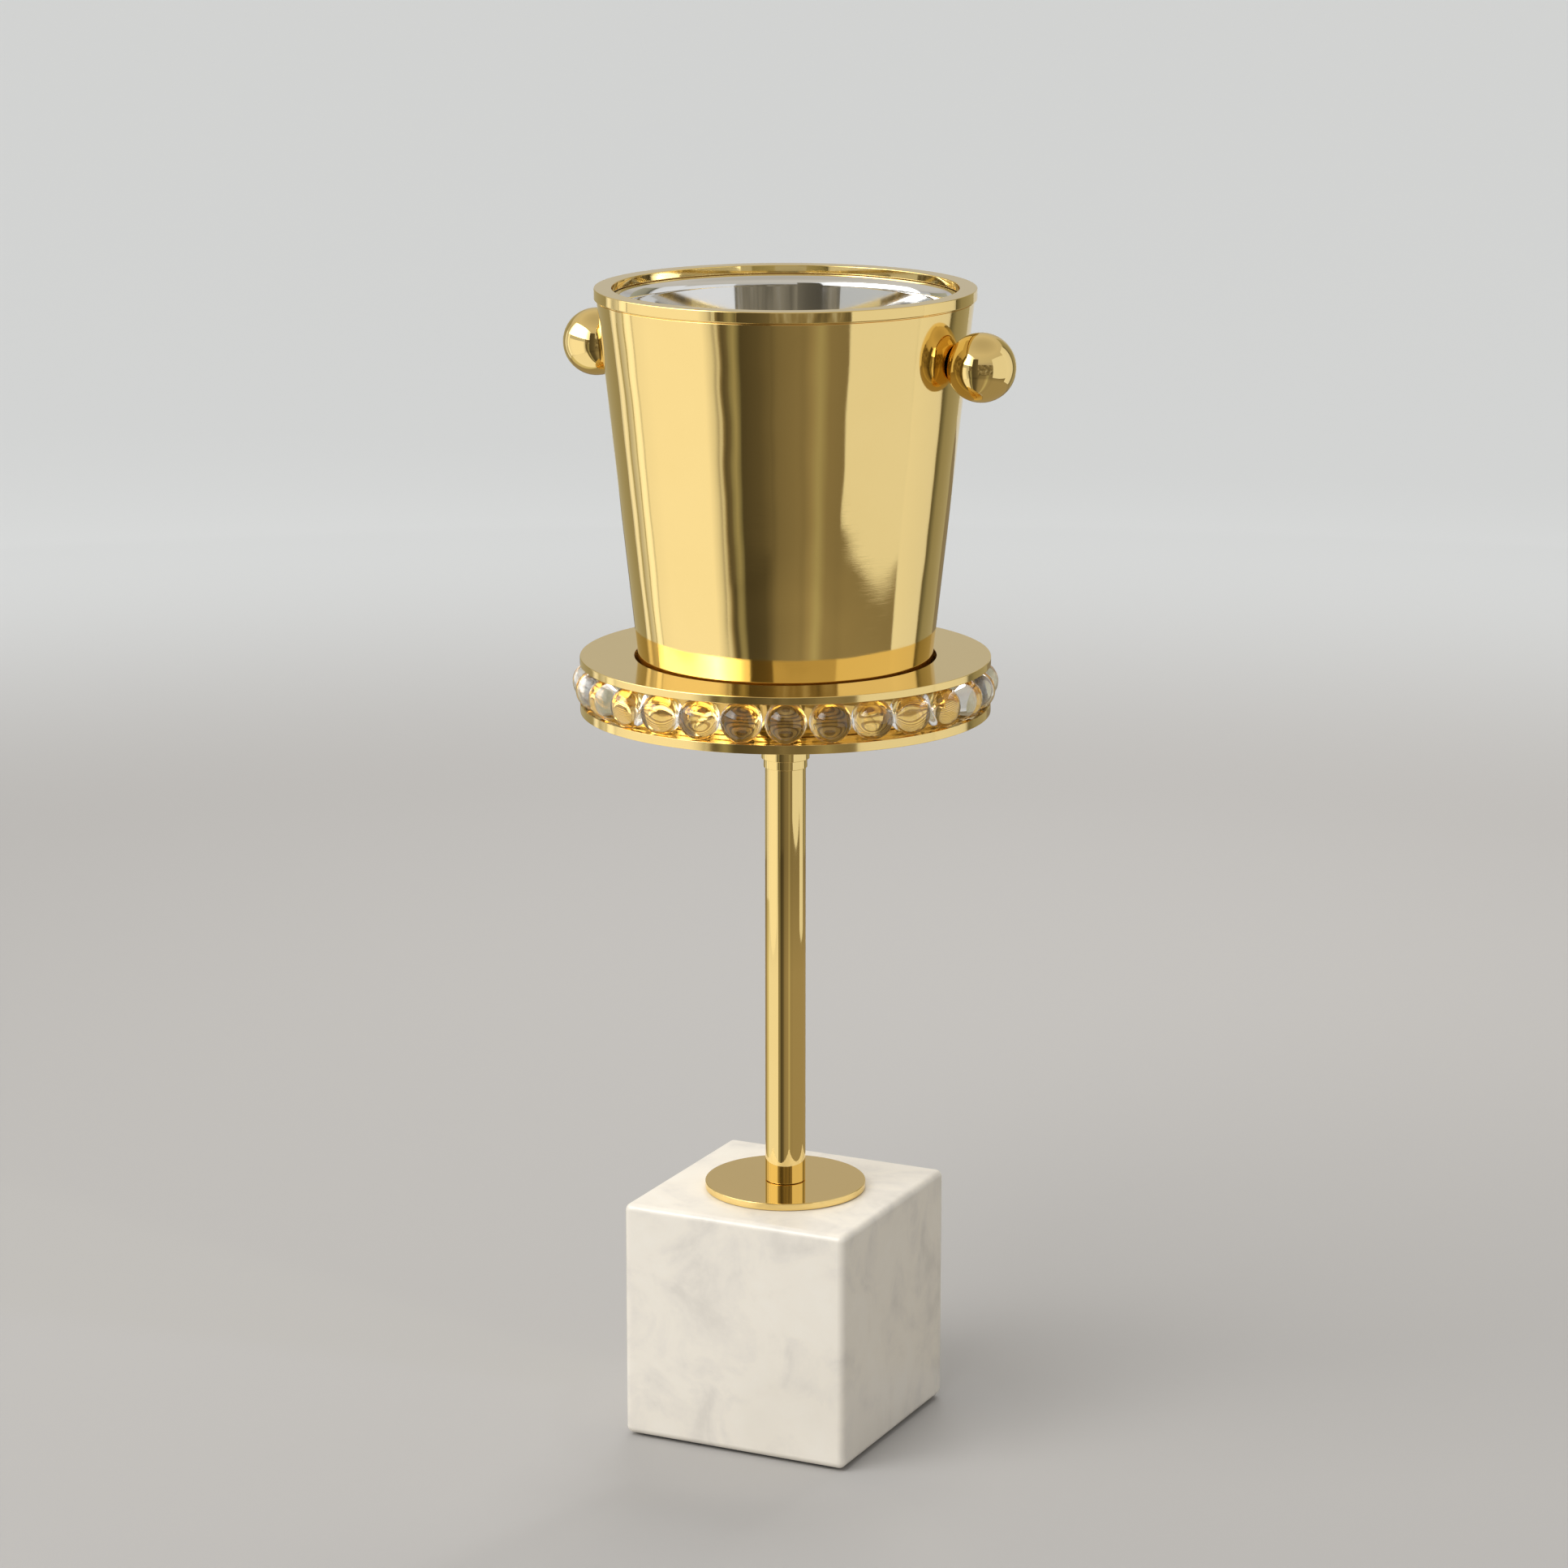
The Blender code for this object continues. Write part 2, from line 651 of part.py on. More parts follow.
def handle(side, word, frame):
    """Ball, screw and washer of one handle; the screw comes from inside the wall."""
    radius = HANDLE_BALL_D / 2.0
    flat = HANDLE_FLAT_D / 2.0
    centre = math.sqrt(radius ** 2 - flat ** 2) + GAP
    start = math.degrees(math.asin((GAP - centre) / radius))
    bore = HANDLE_SCREW_D / 2.0 + HOLE_CLEAR
    bore_end = GAP + HANDLE_SCREW_GRIP + HANDLE_BORE_SPARE
    outline = [
        (0.0, bore_end),
        (bore, bore_end),
        (bore, GAP),
        *arc((0.0, centre), radius, start, 90.0, HANDLE_STEPS)[:-1],
        (0.0, centre + radius),
    ]
    finish = brass(f"brass_ball_{word}")
    ball = turned(f"handle_ball_{word}", outline, HANDLE_SIDES, finish, frame)
    handle_frame(ball, side)

    wall = shell_radius(BUCKET_HEIGHT - HANDLE_DROP) - SHELL_WALL
    washer_radius = HANDLE_WASHER_D / 2.0
    bend = wall - math.sqrt(wall ** 2 - washer_radius ** 2)
    washer_top = -SHELL_WALL - bend - 2.0 * GAP
    washer_bottom = washer_top - HANDLE_WASHER_THICK
    washer = turned(
        f"handle_washer_{word}",
        ring_outline(bore, washer_radius, washer_bottom, washer_top, GAP),
        SCREW_SIDES,
        steel(f"zinc_washer_{word}"),
        frame,
    )
    handle_frame(washer, side)

    head_top = washer_bottom - GAP
    sections = [
        (head_top - HANDLE_SCREW_HEAD, circle(HANDLE_SCREW_HEAD_D * 0.7)),
        (head_top - HANDLE_SCREW_HEAD / 2.0, circle(HANDLE_SCREW_HEAD_D)),
        (head_top, circle(HANDLE_SCREW_HEAD_D)),
        (head_top, circle(HANDLE_SCREW_D)),
        (HANDLE_SCREW_GRIP + GAP, circle(HANDLE_SCREW_D)),
    ]
    screw = skinned(f"handle_screw_{word}", sections, SCREW_SIDES, steel(f"zinc_screw_{word}"), frame)
    handle_frame(screw, side)


def build():
    """Make every piece of the stand and of the bucket."""
    clear_scene()
    felt_pad()
    marble_base()
    base_fasteners()
    foot_disc()
    stem()
    lower_plate()
    drum()
    upper_plate()
    plate_bolt()
    ring_screws()
    glass_balls()
    frame = bucket_frame()
    bucket_shell(frame)
    bucket_base(frame)
    rim_ring(frame)
    liner(frame)
    handle(1, "right", frame)
    handle(-1, "left", frame)


build()
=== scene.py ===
# %% [markdown]
# # A champagne bucket stand
#
# The real object is a lathe job for the most part. A marble cube carries a slim brass stem, the
# stem carries two round plates with a ring of glass balls between them, and a loose brass bucket
# with a steel liner and two ball handles stands inside the ring. The design model, called the
# frame here, already fixes every size and place. This script makes the fine surfaces and the
# finishes that sit on it.

# %% Load the frame and keep its box
import json
import math
from collections import namedtuple

import bpy
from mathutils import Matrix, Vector

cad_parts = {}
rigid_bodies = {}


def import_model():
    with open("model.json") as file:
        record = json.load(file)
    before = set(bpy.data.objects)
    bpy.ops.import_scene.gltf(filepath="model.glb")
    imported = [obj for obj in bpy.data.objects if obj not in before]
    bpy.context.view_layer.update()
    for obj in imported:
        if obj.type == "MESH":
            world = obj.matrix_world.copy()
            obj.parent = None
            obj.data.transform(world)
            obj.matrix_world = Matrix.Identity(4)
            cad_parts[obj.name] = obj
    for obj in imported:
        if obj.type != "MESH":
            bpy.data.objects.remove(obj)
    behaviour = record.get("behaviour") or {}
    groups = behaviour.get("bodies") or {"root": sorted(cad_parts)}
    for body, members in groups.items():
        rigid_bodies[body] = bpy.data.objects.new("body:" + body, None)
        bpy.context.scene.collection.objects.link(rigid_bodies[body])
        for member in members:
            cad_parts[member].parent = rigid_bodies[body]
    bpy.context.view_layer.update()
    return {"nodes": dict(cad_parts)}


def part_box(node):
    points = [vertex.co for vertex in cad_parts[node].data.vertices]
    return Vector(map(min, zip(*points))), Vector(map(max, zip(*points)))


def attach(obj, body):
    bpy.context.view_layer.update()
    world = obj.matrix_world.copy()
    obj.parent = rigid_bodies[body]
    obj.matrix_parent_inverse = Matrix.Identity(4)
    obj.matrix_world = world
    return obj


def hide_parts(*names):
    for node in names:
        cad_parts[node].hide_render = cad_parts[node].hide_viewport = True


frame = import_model()

# %% [markdown]
# ## Reading sizes from the frame
#
# A turned piece in the frame is a faceted solid whose corners lie exactly on the true circles, so
# the distance of a corner from the axis is a real radius. Two small readers are enough: one for
# radii and one for heights. Everything below is built from what they return, so a changed frame
# gives changed pieces.

# %% Readers for radii and heights
TAU = 2.0 * math.pi
NEAR = 0.00005


def corners(node):
    """Every corner of a frame node as (radius from the axis, height)."""
    points = frame["nodes"][node].data.vertices
    return [(math.hypot(point.co.x, point.co.y), point.co.z) for point in points]


def radii(node, height=None):
    """Smallest and largest radius of a node, at one height if it is given."""
    found = [r for r, z in corners(node) if height is None or abs(z - height) < NEAR]
    return min(found), max(found)


def heights(node):
    """Lowest and highest point of a node."""
    low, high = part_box(node)
    return low.z, high.z


print("upper plate radii", radii("upper_plate"), "heights", heights("upper_plate"))

# %% [markdown]
# ## A lathe made of operators
#
# Turning is one idea: draw half of the section, then sweep it round the axis. By hand this is a
# single vertex, extruded from point to point, and then the Spin tool. The spin leaves a seam and
# may turn the surface inside out, so the doubles are merged and the normals recalculated.
# A Bevel modifier then breaks the sharp rings, as a file does on the lathe, and a Weighted Normal
# modifier keeps the large faces truly flat or truly round next to those small bevels. On a mirror
# finish that matters more than anything else, because a bent normal bends the whole reflection.

# %% Helpers to start, finish and turn a piece
FINE = 192              # sides round a large piece
SLIM = 96               # sides round a slim one
BREAK = 0.00035         # usual broken edge
SHARP = 30.0            # an edge that turns by more degrees than this gets broken
FIT = 0.0003            # usual play between two pieces


def deselect():
    """Leave edit mode and select nothing."""
    if bpy.context.mode != "OBJECT":
        bpy.ops.object.mode_set(mode="OBJECT")
    bpy.ops.object.select_all(action="DESELECT")


def only(piece):
    """Make one piece the selected and active one."""
    deselect()
    piece.select_set(True)
    bpy.context.view_layer.objects.active = piece


def edit_all(kind="VERT"):
    """Go into edit mode with everything selected."""
    bpy.ops.object.mode_set(mode="EDIT")
    bpy.ops.mesh.select_mode(type=kind)
    bpy.ops.mesh.select_all(action="SELECT")


def apply_modifiers(piece):
    """Apply every modifier of a piece, in order."""
    only(piece)
    for modifier in list(piece.modifiers):
        bpy.ops.object.modifier_apply(modifier=modifier.name)


def fix_place(piece):
    """Put a piece's place and turn into its mesh, so that its object sits at the origin."""
    only(piece)
    bpy.ops.object.transform_apply(location=True, rotation=True, scale=True)


def soften(piece, width=BREAK, segments=3, crease=40.0):
    """Break the sharp edges, then let the large faces set the normals."""
    if width > 0.0:
        edge = piece.modifiers.new("broken_edges", "BEVEL")
        edge.width = width
        edge.segments = segments
        edge.limit_method = "ANGLE"
        edge.angle_limit = math.radians(SHARP)
        edge.use_clamp_overlap = True
    apply_modifiers(piece)
    bpy.ops.object.shade_smooth_by_angle(angle=math.radians(crease))
    weights = piece.modifiers.new("flat_faces", "WEIGHTED_NORMAL")
    weights.keep_sharp = True
    apply_modifiers(piece)


def turn(name, outline, sides=FINE, width=BREAK, segments=3, crease=40.0):
    """Turn an outline of (radius, height) points into a closed piece.

    An outline that starts and ends on the axis gives a solid; any other is closed into a ring.
    """
    deselect()
    bpy.ops.mesh.primitive_plane_add(size=0.001, location=(0.0, 0.0, 0.0))
    piece = bpy.context.object
    piece.name = name
    piece.data.name = name
    points = list(outline)
    ring = points[0][0] > 0.0 or points[-1][0] > 0.0
    if ring:
        points.append(points[0])
    edit_all()
    bpy.ops.mesh.merge(type="CENTER")
    bpy.ops.transform.translate(value=(points[0][0], 0.0, points[0][1]))
    for (radius, height), (next_radius, next_height) in zip(points, points[1:]):
        step = (next_radius - radius, 0.0, next_height - height)
        bpy.ops.mesh.extrude_region_move(TRANSFORM_OT_translate={"value": step})
    bpy.ops.mesh.select_all(action="SELECT")
    bpy.ops.mesh.remove_doubles(threshold=1e-7)
    bpy.ops.mesh.spin(steps=sides, angle=TAU, center=(0.0, 0.0, 0.0), axis=(0.0, 0.0, 1.0))
    bpy.ops.mesh.select_all(action="SELECT")
    bpy.ops.mesh.remove_doubles(threshold=1e-6)
    bpy.ops.mesh.dissolve_degenerate(threshold=1e-7)
    bpy.ops.mesh.select_all(action="SELECT")
    bpy.ops.mesh.normals_make_consistent(inside=False)
    bpy.ops.object.mode_set(mode="OBJECT")
    soften(piece, width, segments, crease)
    return piece


def sleeve(inner, outer, low, high):
    """Outline of a plain sleeve, or of a rod when the inner radius is nothing."""
    return [(inner, low), (outer, low), (outer, high), (inner, high)]


def arc(centre, radius, start, end, steps):
    """Points of an arc in the section, angles in degrees from the outward direction."""
    angles = [math.radians(start + (end - start) * step / steps) for step in range(steps + 1)]
    return [(centre[0] + radius * math.cos(a), centre[1] + radius * math.sin(a)) for a in angles]


def settle(piece, node, body):
    """Let a piece stand for a frame node and ride its body."""
    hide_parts(node)
    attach(piece, body)
    print(f"{piece.name}: {len(piece.data.polygons)} faces for {node}")


# %% [markdown]
# ## Shader maths as plain expressions
#
# A finish is a small program. Wiring it node by node hides what it says, so a Wire wraps one
# output socket and knows how to add, subtract, multiply and divide: an expression on Wires adds
# the Math nodes. Every other node comes from one method, which takes the node's type, its
# settings, and a value or a Wire for each of its sockets.

# %% Wires and node trees
class Wire:
    """One output socket. Arithmetic on it adds Math nodes to its tree."""

    def __init__(self, tree, socket):
        self.tree = tree
        self.socket = socket

    def __add__(self, other):
        return self.tree.math("ADD", self, other)

    __radd__ = __add__

    def __sub__(self, other):
        return self.tree.math("SUBTRACT", self, other)

    def __rsub__(self, other):
        return self.tree.math("SUBTRACT", other, self)

    def __mul__(self, other):
        return self.tree.math("MULTIPLY", self, other)

    __rmul__ = __mul__

    def __truediv__(self, other):
        return self.tree.math("DIVIDE", self, other)


class Tree:
    """A node tree that is filled by expressions."""

    def __init__(self, nodes_owner):
        nodes_owner.use_nodes = True
        self.inner = nodes_owner.node_tree

    def node(self, kind, settings, sockets, output=0):
        """Add one node, make its settings, fill its sockets and hand back one output."""
        made = self.inner.nodes.new(kind)
        for key, value in settings.items():
            if key == "stops":
                self.set_stops(made.color_ramp, value)
            else:
                setattr(made, key, value)
        for key, value in sockets.items():
            if isinstance(value, Wire):
                self.inner.links.new(value.socket, made.inputs[key])
            else:
                made.inputs[key].default_value = value
        return Wire(self, made.outputs[output])

    def set_stops(self, ramp, stops):
        """Give a colour ramp its (place, colour) stops."""
        while len(ramp.elements) < len(stops):
            ramp.elements.new(1.0)
        for element, (place, colour) in zip(ramp.elements, stops):
            element.position = place
            element.color = (*colour, 1.0)

    def math(self, operation, first, second=0.0):
        """A Math node on one or two numbers."""
        return self.node("ShaderNodeMath", {"operation": operation}, {0: first, 1: second})

    def length(self, vector):
        """Length of a vector."""
        return self.node("ShaderNodeVectorMath", {"operation": "LENGTH"}, {0: vector}, "Value")

    def along(self, vector, direction):
        """How far a vector reaches in a direction."""
        sockets = {0: vector, 1: direction}
        return self.node("ShaderNodeVectorMath", {"operation": "DOT_PRODUCT"}, sockets, "Value")

    def place(self, scale=(1.0, 1.0, 1.0)):
        """Object coordinates in metres, stretched by a scale."""
        here = self.node("ShaderNodeTexCoord", {}, {}, "Object")
        return self.node("ShaderNodeMapping", {}, {"Vector": here, "Scale": scale})

    def noise(self, scale, detail=2.0, roughness=0.5, stretch=(1.0, 1.0, 1.0), warp=0.0):
        """Soft noise from 0 to 1; scale counts its lumps per metre."""
        sockets = {
            "Vector": self.place(stretch),
            "Scale": scale,
            "Detail": detail,
            "Roughness": roughness,
            "Distortion": warp,
        }
        return self.node("ShaderNodeTexNoise", {}, sockets)

    def ramp(self, factor, stops, interpolation="LINEAR"):
        """Colour ramp over a number."""
        made = self.node("ShaderNodeValToRGB", {"stops": stops}, {"Fac": factor})
        made.socket.node.color_ramp.interpolation = interpolation
        return made

    def blend(self, factor, first, second, how="MIX"):
        """Mix of two colours."""
        settings = {"data_type": "RGBA", "blend_type": how}
        return self.node("ShaderNodeMix", settings, {0: factor, 6: first, 7: second}, 2)

    def bump(self, height, distance):
        """Normal of a surface raised by a height from 0 to 1 times a distance in metres."""
        sockets = {"Height": height, "Distance": distance, "Strength": 1.0}
        return self.node("ShaderNodeBump", {}, sockets)


class Finish(Tree):
    """A material with its Principled shader at hand."""

    def __init__(self, name, constants):
        self.material = bpy.data.materials.new(name)
        super().__init__(self.material)
        self.shader = self.inner.nodes["Principled BSDF"]
        for socket, value in constants.items():
            self.shader.inputs[socket].default_value = value

    def feed(self, socket, wire):
        """Connect a Wire to one socket of the shader."""
        self.inner.links.new(wire.socket, self.shader.inputs[socket])

    def onto(self, piece):
        """Make this the only finish of a piece."""
        piece.data.materials.clear()
        piece.data.materials.append(self.material)


# %% [markdown]
# ## Brass
#
# Polished yellow brass reflects about nine tenths of the red light that meets it, two thirds of
# the green and a third of the blue. A metal has no colour of its own apart from that tint, so a
# convincing brass is mostly about how straight its surface is. The stem, the rim and the handles
# are buffed to a mirror. The bucket's wall is spun and then linished round and round, which leaves
# rings too fine to see: they smear reflections up and down and leave them sharp from side to side.
# Under the rings the sheet has a slow wave, which makes straight reflections wander a little.
# The plates are lapped flat and a little softer. One function with a few numbers gives all of them.

# %% Brass finishes
BRASS = (0.92, 0.705, 0.30)


def brass(name, roughness, wave, lumps, rings=0.0, fineness=4200.0):
    """Brass with a roughness, a slow wave of so many lumps per metre, and fine rings round Z."""
    finish = Finish(name, {"Metallic": 1.0, "Specular Tint": (1.0, 0.97, 0.90, 1.0)})
    patina = finish.noise(14.0, 4.0, 0.6)
    deep = tuple(part * share for part, share in zip(BRASS, (0.95, 0.93, 0.86)))
    tone = finish.blend((patina - 0.5) * 0.8 + 0.35, (*BRASS, 1.0), (*deep, 1.0))
    finish.feed("Base Color", tone)
    smear = finish.noise(60.0, 3.0, 0.55, (1.0, 1.0, 0.35))
    finish.feed("Roughness", (smear - 0.5) * roughness * 0.9 + roughness)
    height = finish.noise(lumps, 1.0, 0.4) * wave
    if rings > 0.0:
        height = height + finish.noise(1.0, 2.0, 0.7, (30.0, 30.0, fineness)) * rings
    finish.feed("Normal", finish.bump(height, 1.0))
    return finish


mirror_brass = brass("brass_mirror", 0.035, wave=0.00004, lumps=22.0)
bucket_brass = brass("brass_linished", 0.05, wave=0.0006, lumps=20.0, rings=0.000004)
plate_brass = brass("brass_lapped", 0.11, wave=0.00003, lumps=18.0)
turned_brass = brass("brass_as_turned", 0.24, wave=0.00002, lumps=40.0, rings=0.00001)
drum_brass = brass("brass_drum", 0.05, wave=0.00003, lumps=30.0, rings=0.00001, fineness=4000.0)
print("brass finishes:", [item.name for item in bpy.data.materials if item.name.startswith("brass_")])

# %% [markdown]
# The drum behind the glass balls is only turned, never buffed: the tool's feed leaves a mark on
# each round, and the balls magnify those marks. Each mark is drawn as a thin dark brown line:
# painted shade where its groove would be in shade. The slot round the bucket's foot is painted
# dark brown and not metallic: painted shade down in the slot, between the bucket and the plates.
# Both are patterns on Object coordinates: a sine of the height for the marks, and a test of
# radius and height for the slot.

# %% Feed marks with painted shade, and painted shade in the slot
FEED = 0.00045          # height of one turn of the tool
# the first tone is painted shade in the marks' grooves, the second is the brass between them
GROOVE_SHADE_BROWN = (0.46, 0.27, 0.07)
MARK_BRIGHT = (0.88, 0.60, 0.19)
# painted shade for the slot round the bucket's foot
SLOT_SHADE_BROWN = (0.36, 0.19, 0.06)
SLOT_FLOOR = heights("lower_plate")[1] + 0.0005
SLOT_RADIUS = radii("upper_plate")[0]


def height_of(finish):
    """Height of the surface over the floor."""
    return finish.node("ShaderNodeSeparateXYZ", {}, {"Vector": finish.place()}, "Z")


def shaded_feed_marks(finish):
    """Lay the tool's marks one over the other, all the way up, each a thin line of painted shade."""
    mark = finish.math("SINE", height_of(finish) * (TAU / FEED))
    # painted shade: each turn of the tool gets a thin dark brown line, standing in for the shade in its
    # groove
    finish.feed("Base Color", finish.ramp(mark * 0.5 + 0.5, [(0.15, GROOVE_SHADE_BROWN), (0.50, MARK_BRIGHT)]))


def painted_slot_shade(finish, radius):
    """Paint shade, dark brown and not metallic, on what is within a radius of the axis and over the lower
    plate.
    """
    within = finish.math("LESS_THAN", finish.length(finish.place((1.0, 1.0, 0.0))), radius)
    shade_mask = within * finish.math("GREATER_THAN", height_of(finish), SLOT_FLOOR)
    polished = Wire(finish, finish.shader.inputs["Base Color"].links[0].from_socket)
    # painted shade: the slot turns dark brown and stops being metal
    finish.feed("Base Color", finish.blend(shade_mask, polished, (*SLOT_SHADE_BROWN, 1.0)))
    finish.feed("Metallic", 1.0 - shade_mask)


# the drum's marks: real tool marks, with painted shade in their grooves
shaded_feed_marks(drum_brass)
# painted shade inside the drum and in the upper plate's hole, round the bucket's foot
painted_slot_shade(drum_brass, radii("drum_ring")[0] + 0.0005)
painted_slot_shade(plate_brass, SLOT_RADIUS + 0.0002)
print("slot radius", round(SLOT_RADIUS * 1000, 2), "mm")

# %% [markdown]
# ## Steel, marble, glass and felt
#
# The liner is polished stainless steel, which reflects almost without colour. The hidden bolts and
# screws are zinc plated. The cube is honed white marble: warm white with soft greyer clouds, a few stains and
# hardly any veins. Three sizes of noise, added up and read through a ramp of four near whites,
# give that look. The balls are plain clear glass. The felt is a dull grey mat of short hairs.

# %% Steel finishes
def steel(name, colour, roughness, wave):
    """Steel with faint up-and-down polishing marks."""
    finish = Finish(name, {"Metallic": 1.0, "Base Color": (*colour, 1.0)})
    smear = finish.noise(90.0, 3.0, 0.6, (1.0, 1.0, 0.3))
    finish.feed("Roughness", (smear - 0.5) * roughness + roughness)
    finish.feed("Normal", finish.bump(finish.noise(16.0, 1.0, 0.4), wave))
    return finish


liner_steel = steel("steel_liner", (0.80, 0.80, 0.79), 0.06, 0.00008)
zinc_steel = steel("steel_zinc_plated", (0.62, 0.63, 0.64), 0.28, 0.00001)

# %% Marble, glass and felt
def marble():
    """White marble: wide clouds, a smaller mottle, fine grain and a few stains."""
    finish = Finish("marble_white", {"IOR": 1.5})
    cloud = finish.noise(24.0, 6.0, 0.55, (1.0, 1.25, 0.9), 0.8)
    mottle = finish.noise(75.0, 3.0, 0.6)
    grain = finish.noise(260.0, 3.0, 0.6)
    white = finish.ramp(
        cloud + (mottle - 0.5) * 0.24 + (grain - 0.5) * 0.06,
        [
            (0.30, (0.770, 0.720, 0.635)),
            (0.42, (0.850, 0.795, 0.700)),
            (0.52, (0.900, 0.840, 0.730)),
            (0.66, (0.915, 0.860, 0.755)),
        ],
    )
    stain = finish.ramp(finish.noise(9.0, 3.0, 0.5), [(0.56, (0.0,) * 3), (0.74, (0.7,) * 3)])
    finish.feed("Base Color", finish.blend(stain, white, (0.83, 0.77, 0.66, 1.0)))
    finish.feed("Roughness", grain * 0.05 + 0.27)
    finish.feed("Normal", finish.bump(grain, 0.000005))
    return finish


def glass():
    """Clear glass with a barely uneven pressed surface."""
    constants = {"Transmission Weight": 1.0, "IOR": 1.50, "Roughness": 0.0}
    finish = Finish("glass_clear", {**constants, "Base Color": (0.985, 0.99, 0.985, 1.0)})
    finish.feed("Normal", finish.bump(finish.noise(120.0, 1.0, 0.4), 0.000004))
    return finish


def felt():
    """Pressed grey wool."""
    finish = Finish("felt_grey", {"Roughness": 0.95, "Sheen Weight": 0.4, "Sheen Roughness": 0.6})
    hairs = finish.noise(1400.0, 3.0, 0.7)
    finish.feed("Base Color", finish.ramp(hairs, [(0.3, (0.05,) * 3), (0.7, (0.16,) * 3)]))
    finish.feed("Normal", finish.bump(hairs, 0.0002))
    return finish


white_marble = marble()
clear_glass = glass()
grey_felt = felt()
print("finishes so far:", len(bpy.data.materials))

# %% [markdown]
# ## The marble cube and its felt
#
# A stonemason saws the cube, bores it from top to bottom for the bolt, sinks a wide pocket from
# below for the washer and rubs the edges round. The same order works here: a cube at its size and
# place, a bevel on its edges, and a Boolean for the bore. The felt sheet is a cube squashed to a
# sheet, its four upright corners rounded.

# %% Cube and bore
CUBE_ROUND = 0.0045
BORE_PLAY = 1.12        # the bore is this many times as wide as the bolt
POCKET_PLAY = 0.002


def box_piece(name, low, high):
    """A cube primitive stretched between two corners, with its place in its mesh."""
    deselect()
    bpy.ops.mesh.primitive_cube_add(size=1.0, location=(low + high) / 2.0, scale=high - low)
    piece = bpy.context.object
    piece.name = name
    piece.data.name = name
    fix_place(piece)
    return piece


def cut(piece, tool):
    """Take a tool's shape out of a piece and throw the tool away."""
    hole = piece.modifiers.new("hole", "BOOLEAN")
    hole.object = tool
    hole.solver = "EXACT"
    apply_modifiers(piece)
    bpy.data.objects.remove(tool, do_unlink=True)


def marble_cube():
    """The block with rounded edges, its bore and the pocket under it."""
    low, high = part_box("marble_base")
    block = box_piece("marble_block", low, high)
    edit_all()
    bpy.ops.mesh.bevel(offset=CUBE_ROUND, segments=8, affect="EDGES")
    bpy.ops.object.mode_set(mode="OBJECT")
    bore = radii("base_bolt", heights("base_bolt")[1])[1] * BORE_PLAY
    pocket = radii("base_washer")[1] + POCKET_PLAY
    roof = heights("base_washer")[1] + FIT
    below = low.z - CUBE_ROUND
    above = high.z + CUBE_ROUND
    outline = [(0.0, below), (pocket, below), (pocket, roof), (bore, roof), (bore, above), (0.0, above)]
    cut(block, turn("bore_tool", outline, 64, 0.0))
    soften(block, 0.0)
    white_marble.onto(block)
    settle(block, "marble_base", "stand")


marble_cube()


# %% Felt
FELT_CORNER = 0.006


def felt_sheet():
    """A sheet with round corners and a slightly pillowed edge."""
    low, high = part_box("felt_pad")
    sheet = box_piece("felt_sheet", low, high)
    edit_all("EDGE")
    bpy.ops.mesh.select_all(action="DESELECT")
    bpy.ops.object.mode_set(mode="OBJECT")
    points = sheet.data.vertices
    for edge in sheet.data.edges:
        ends = [points[index].co.z for index in edge.vertices]
        edge.select = abs(ends[0] - ends[1]) > NEAR
    bpy.ops.object.mode_set(mode="EDIT")
    bpy.ops.mesh.bevel(offset=FELT_CORNER, segments=10, affect="EDGES")
    bpy.ops.object.mode_set(mode="OBJECT")
    soften(sheet, 0.0004, 3)
    grey_felt.onto(sheet)
    settle(sheet, "felt_pad", "stand")


felt_sheet()

# %% [markdown]
# ## Foot disc, stem and collar
#
# These are bar and tube stock, turned and buffed. Their sections are short lists of corners, and
# the sharp rings are broken by the bevel in the lathe helper.

# %% Disc, tube and collar
def foot_disc():
    """Flat disc with a clearance hole for the bolt."""
    hole, edge = radii("foot_disc")
    low, high = heights("foot_disc")
    disc = turn("foot_disc_fine", sleeve(hole, edge, low, high), FINE, 0.0005)
    mirror_brass.onto(disc)
    settle(disc, "foot_disc", "stand")


def stem_tube():
    """Plain tube from the disc to the lower plate."""
    inner, outer = radii("stem_tube")
    low, high = heights("stem_tube")
    tube = turn("stem_tube_fine", sleeve(inner, outer, low, high), SLIM, 0.0004)
    mirror_brass.onto(tube)
    settle(tube, "stem_tube", "stand")


def stem_collar():
    """Sleeve with one step, soldered on the top of the tube."""
    bore, wide = radii("stem_collar")
    low, high = heights("stem_collar")
    narrow = radii("stem_collar", low)[1]
    step = min(z for r, z in corners("stem_collar") if r > narrow + NEAR)
    outline = [(bore, low), (narrow, low), (narrow, step), (wide, step), (wide, high), (bore, high)]
    collar = turn("stem_collar_fine", outline, SLIM, 0.0003)
    mirror_brass.onto(collar)
    settle(collar, "stem_collar", "stand")


foot_disc()
stem_tube()
stem_collar()

# %% [markdown]
# ## Plates, drum and the ring of glass balls
#
# Each plate has a shallow round groove in which the balls sit, and the drum behind them keeps the
# plates apart. The balls are pressed glass: each has a tiny ground flat where it stands in the
# groove and where the upper plate holds it. A ball starts from a cube, because a subdivided cube
# pushed out to a sphere has even faces and no poles to catch the light.

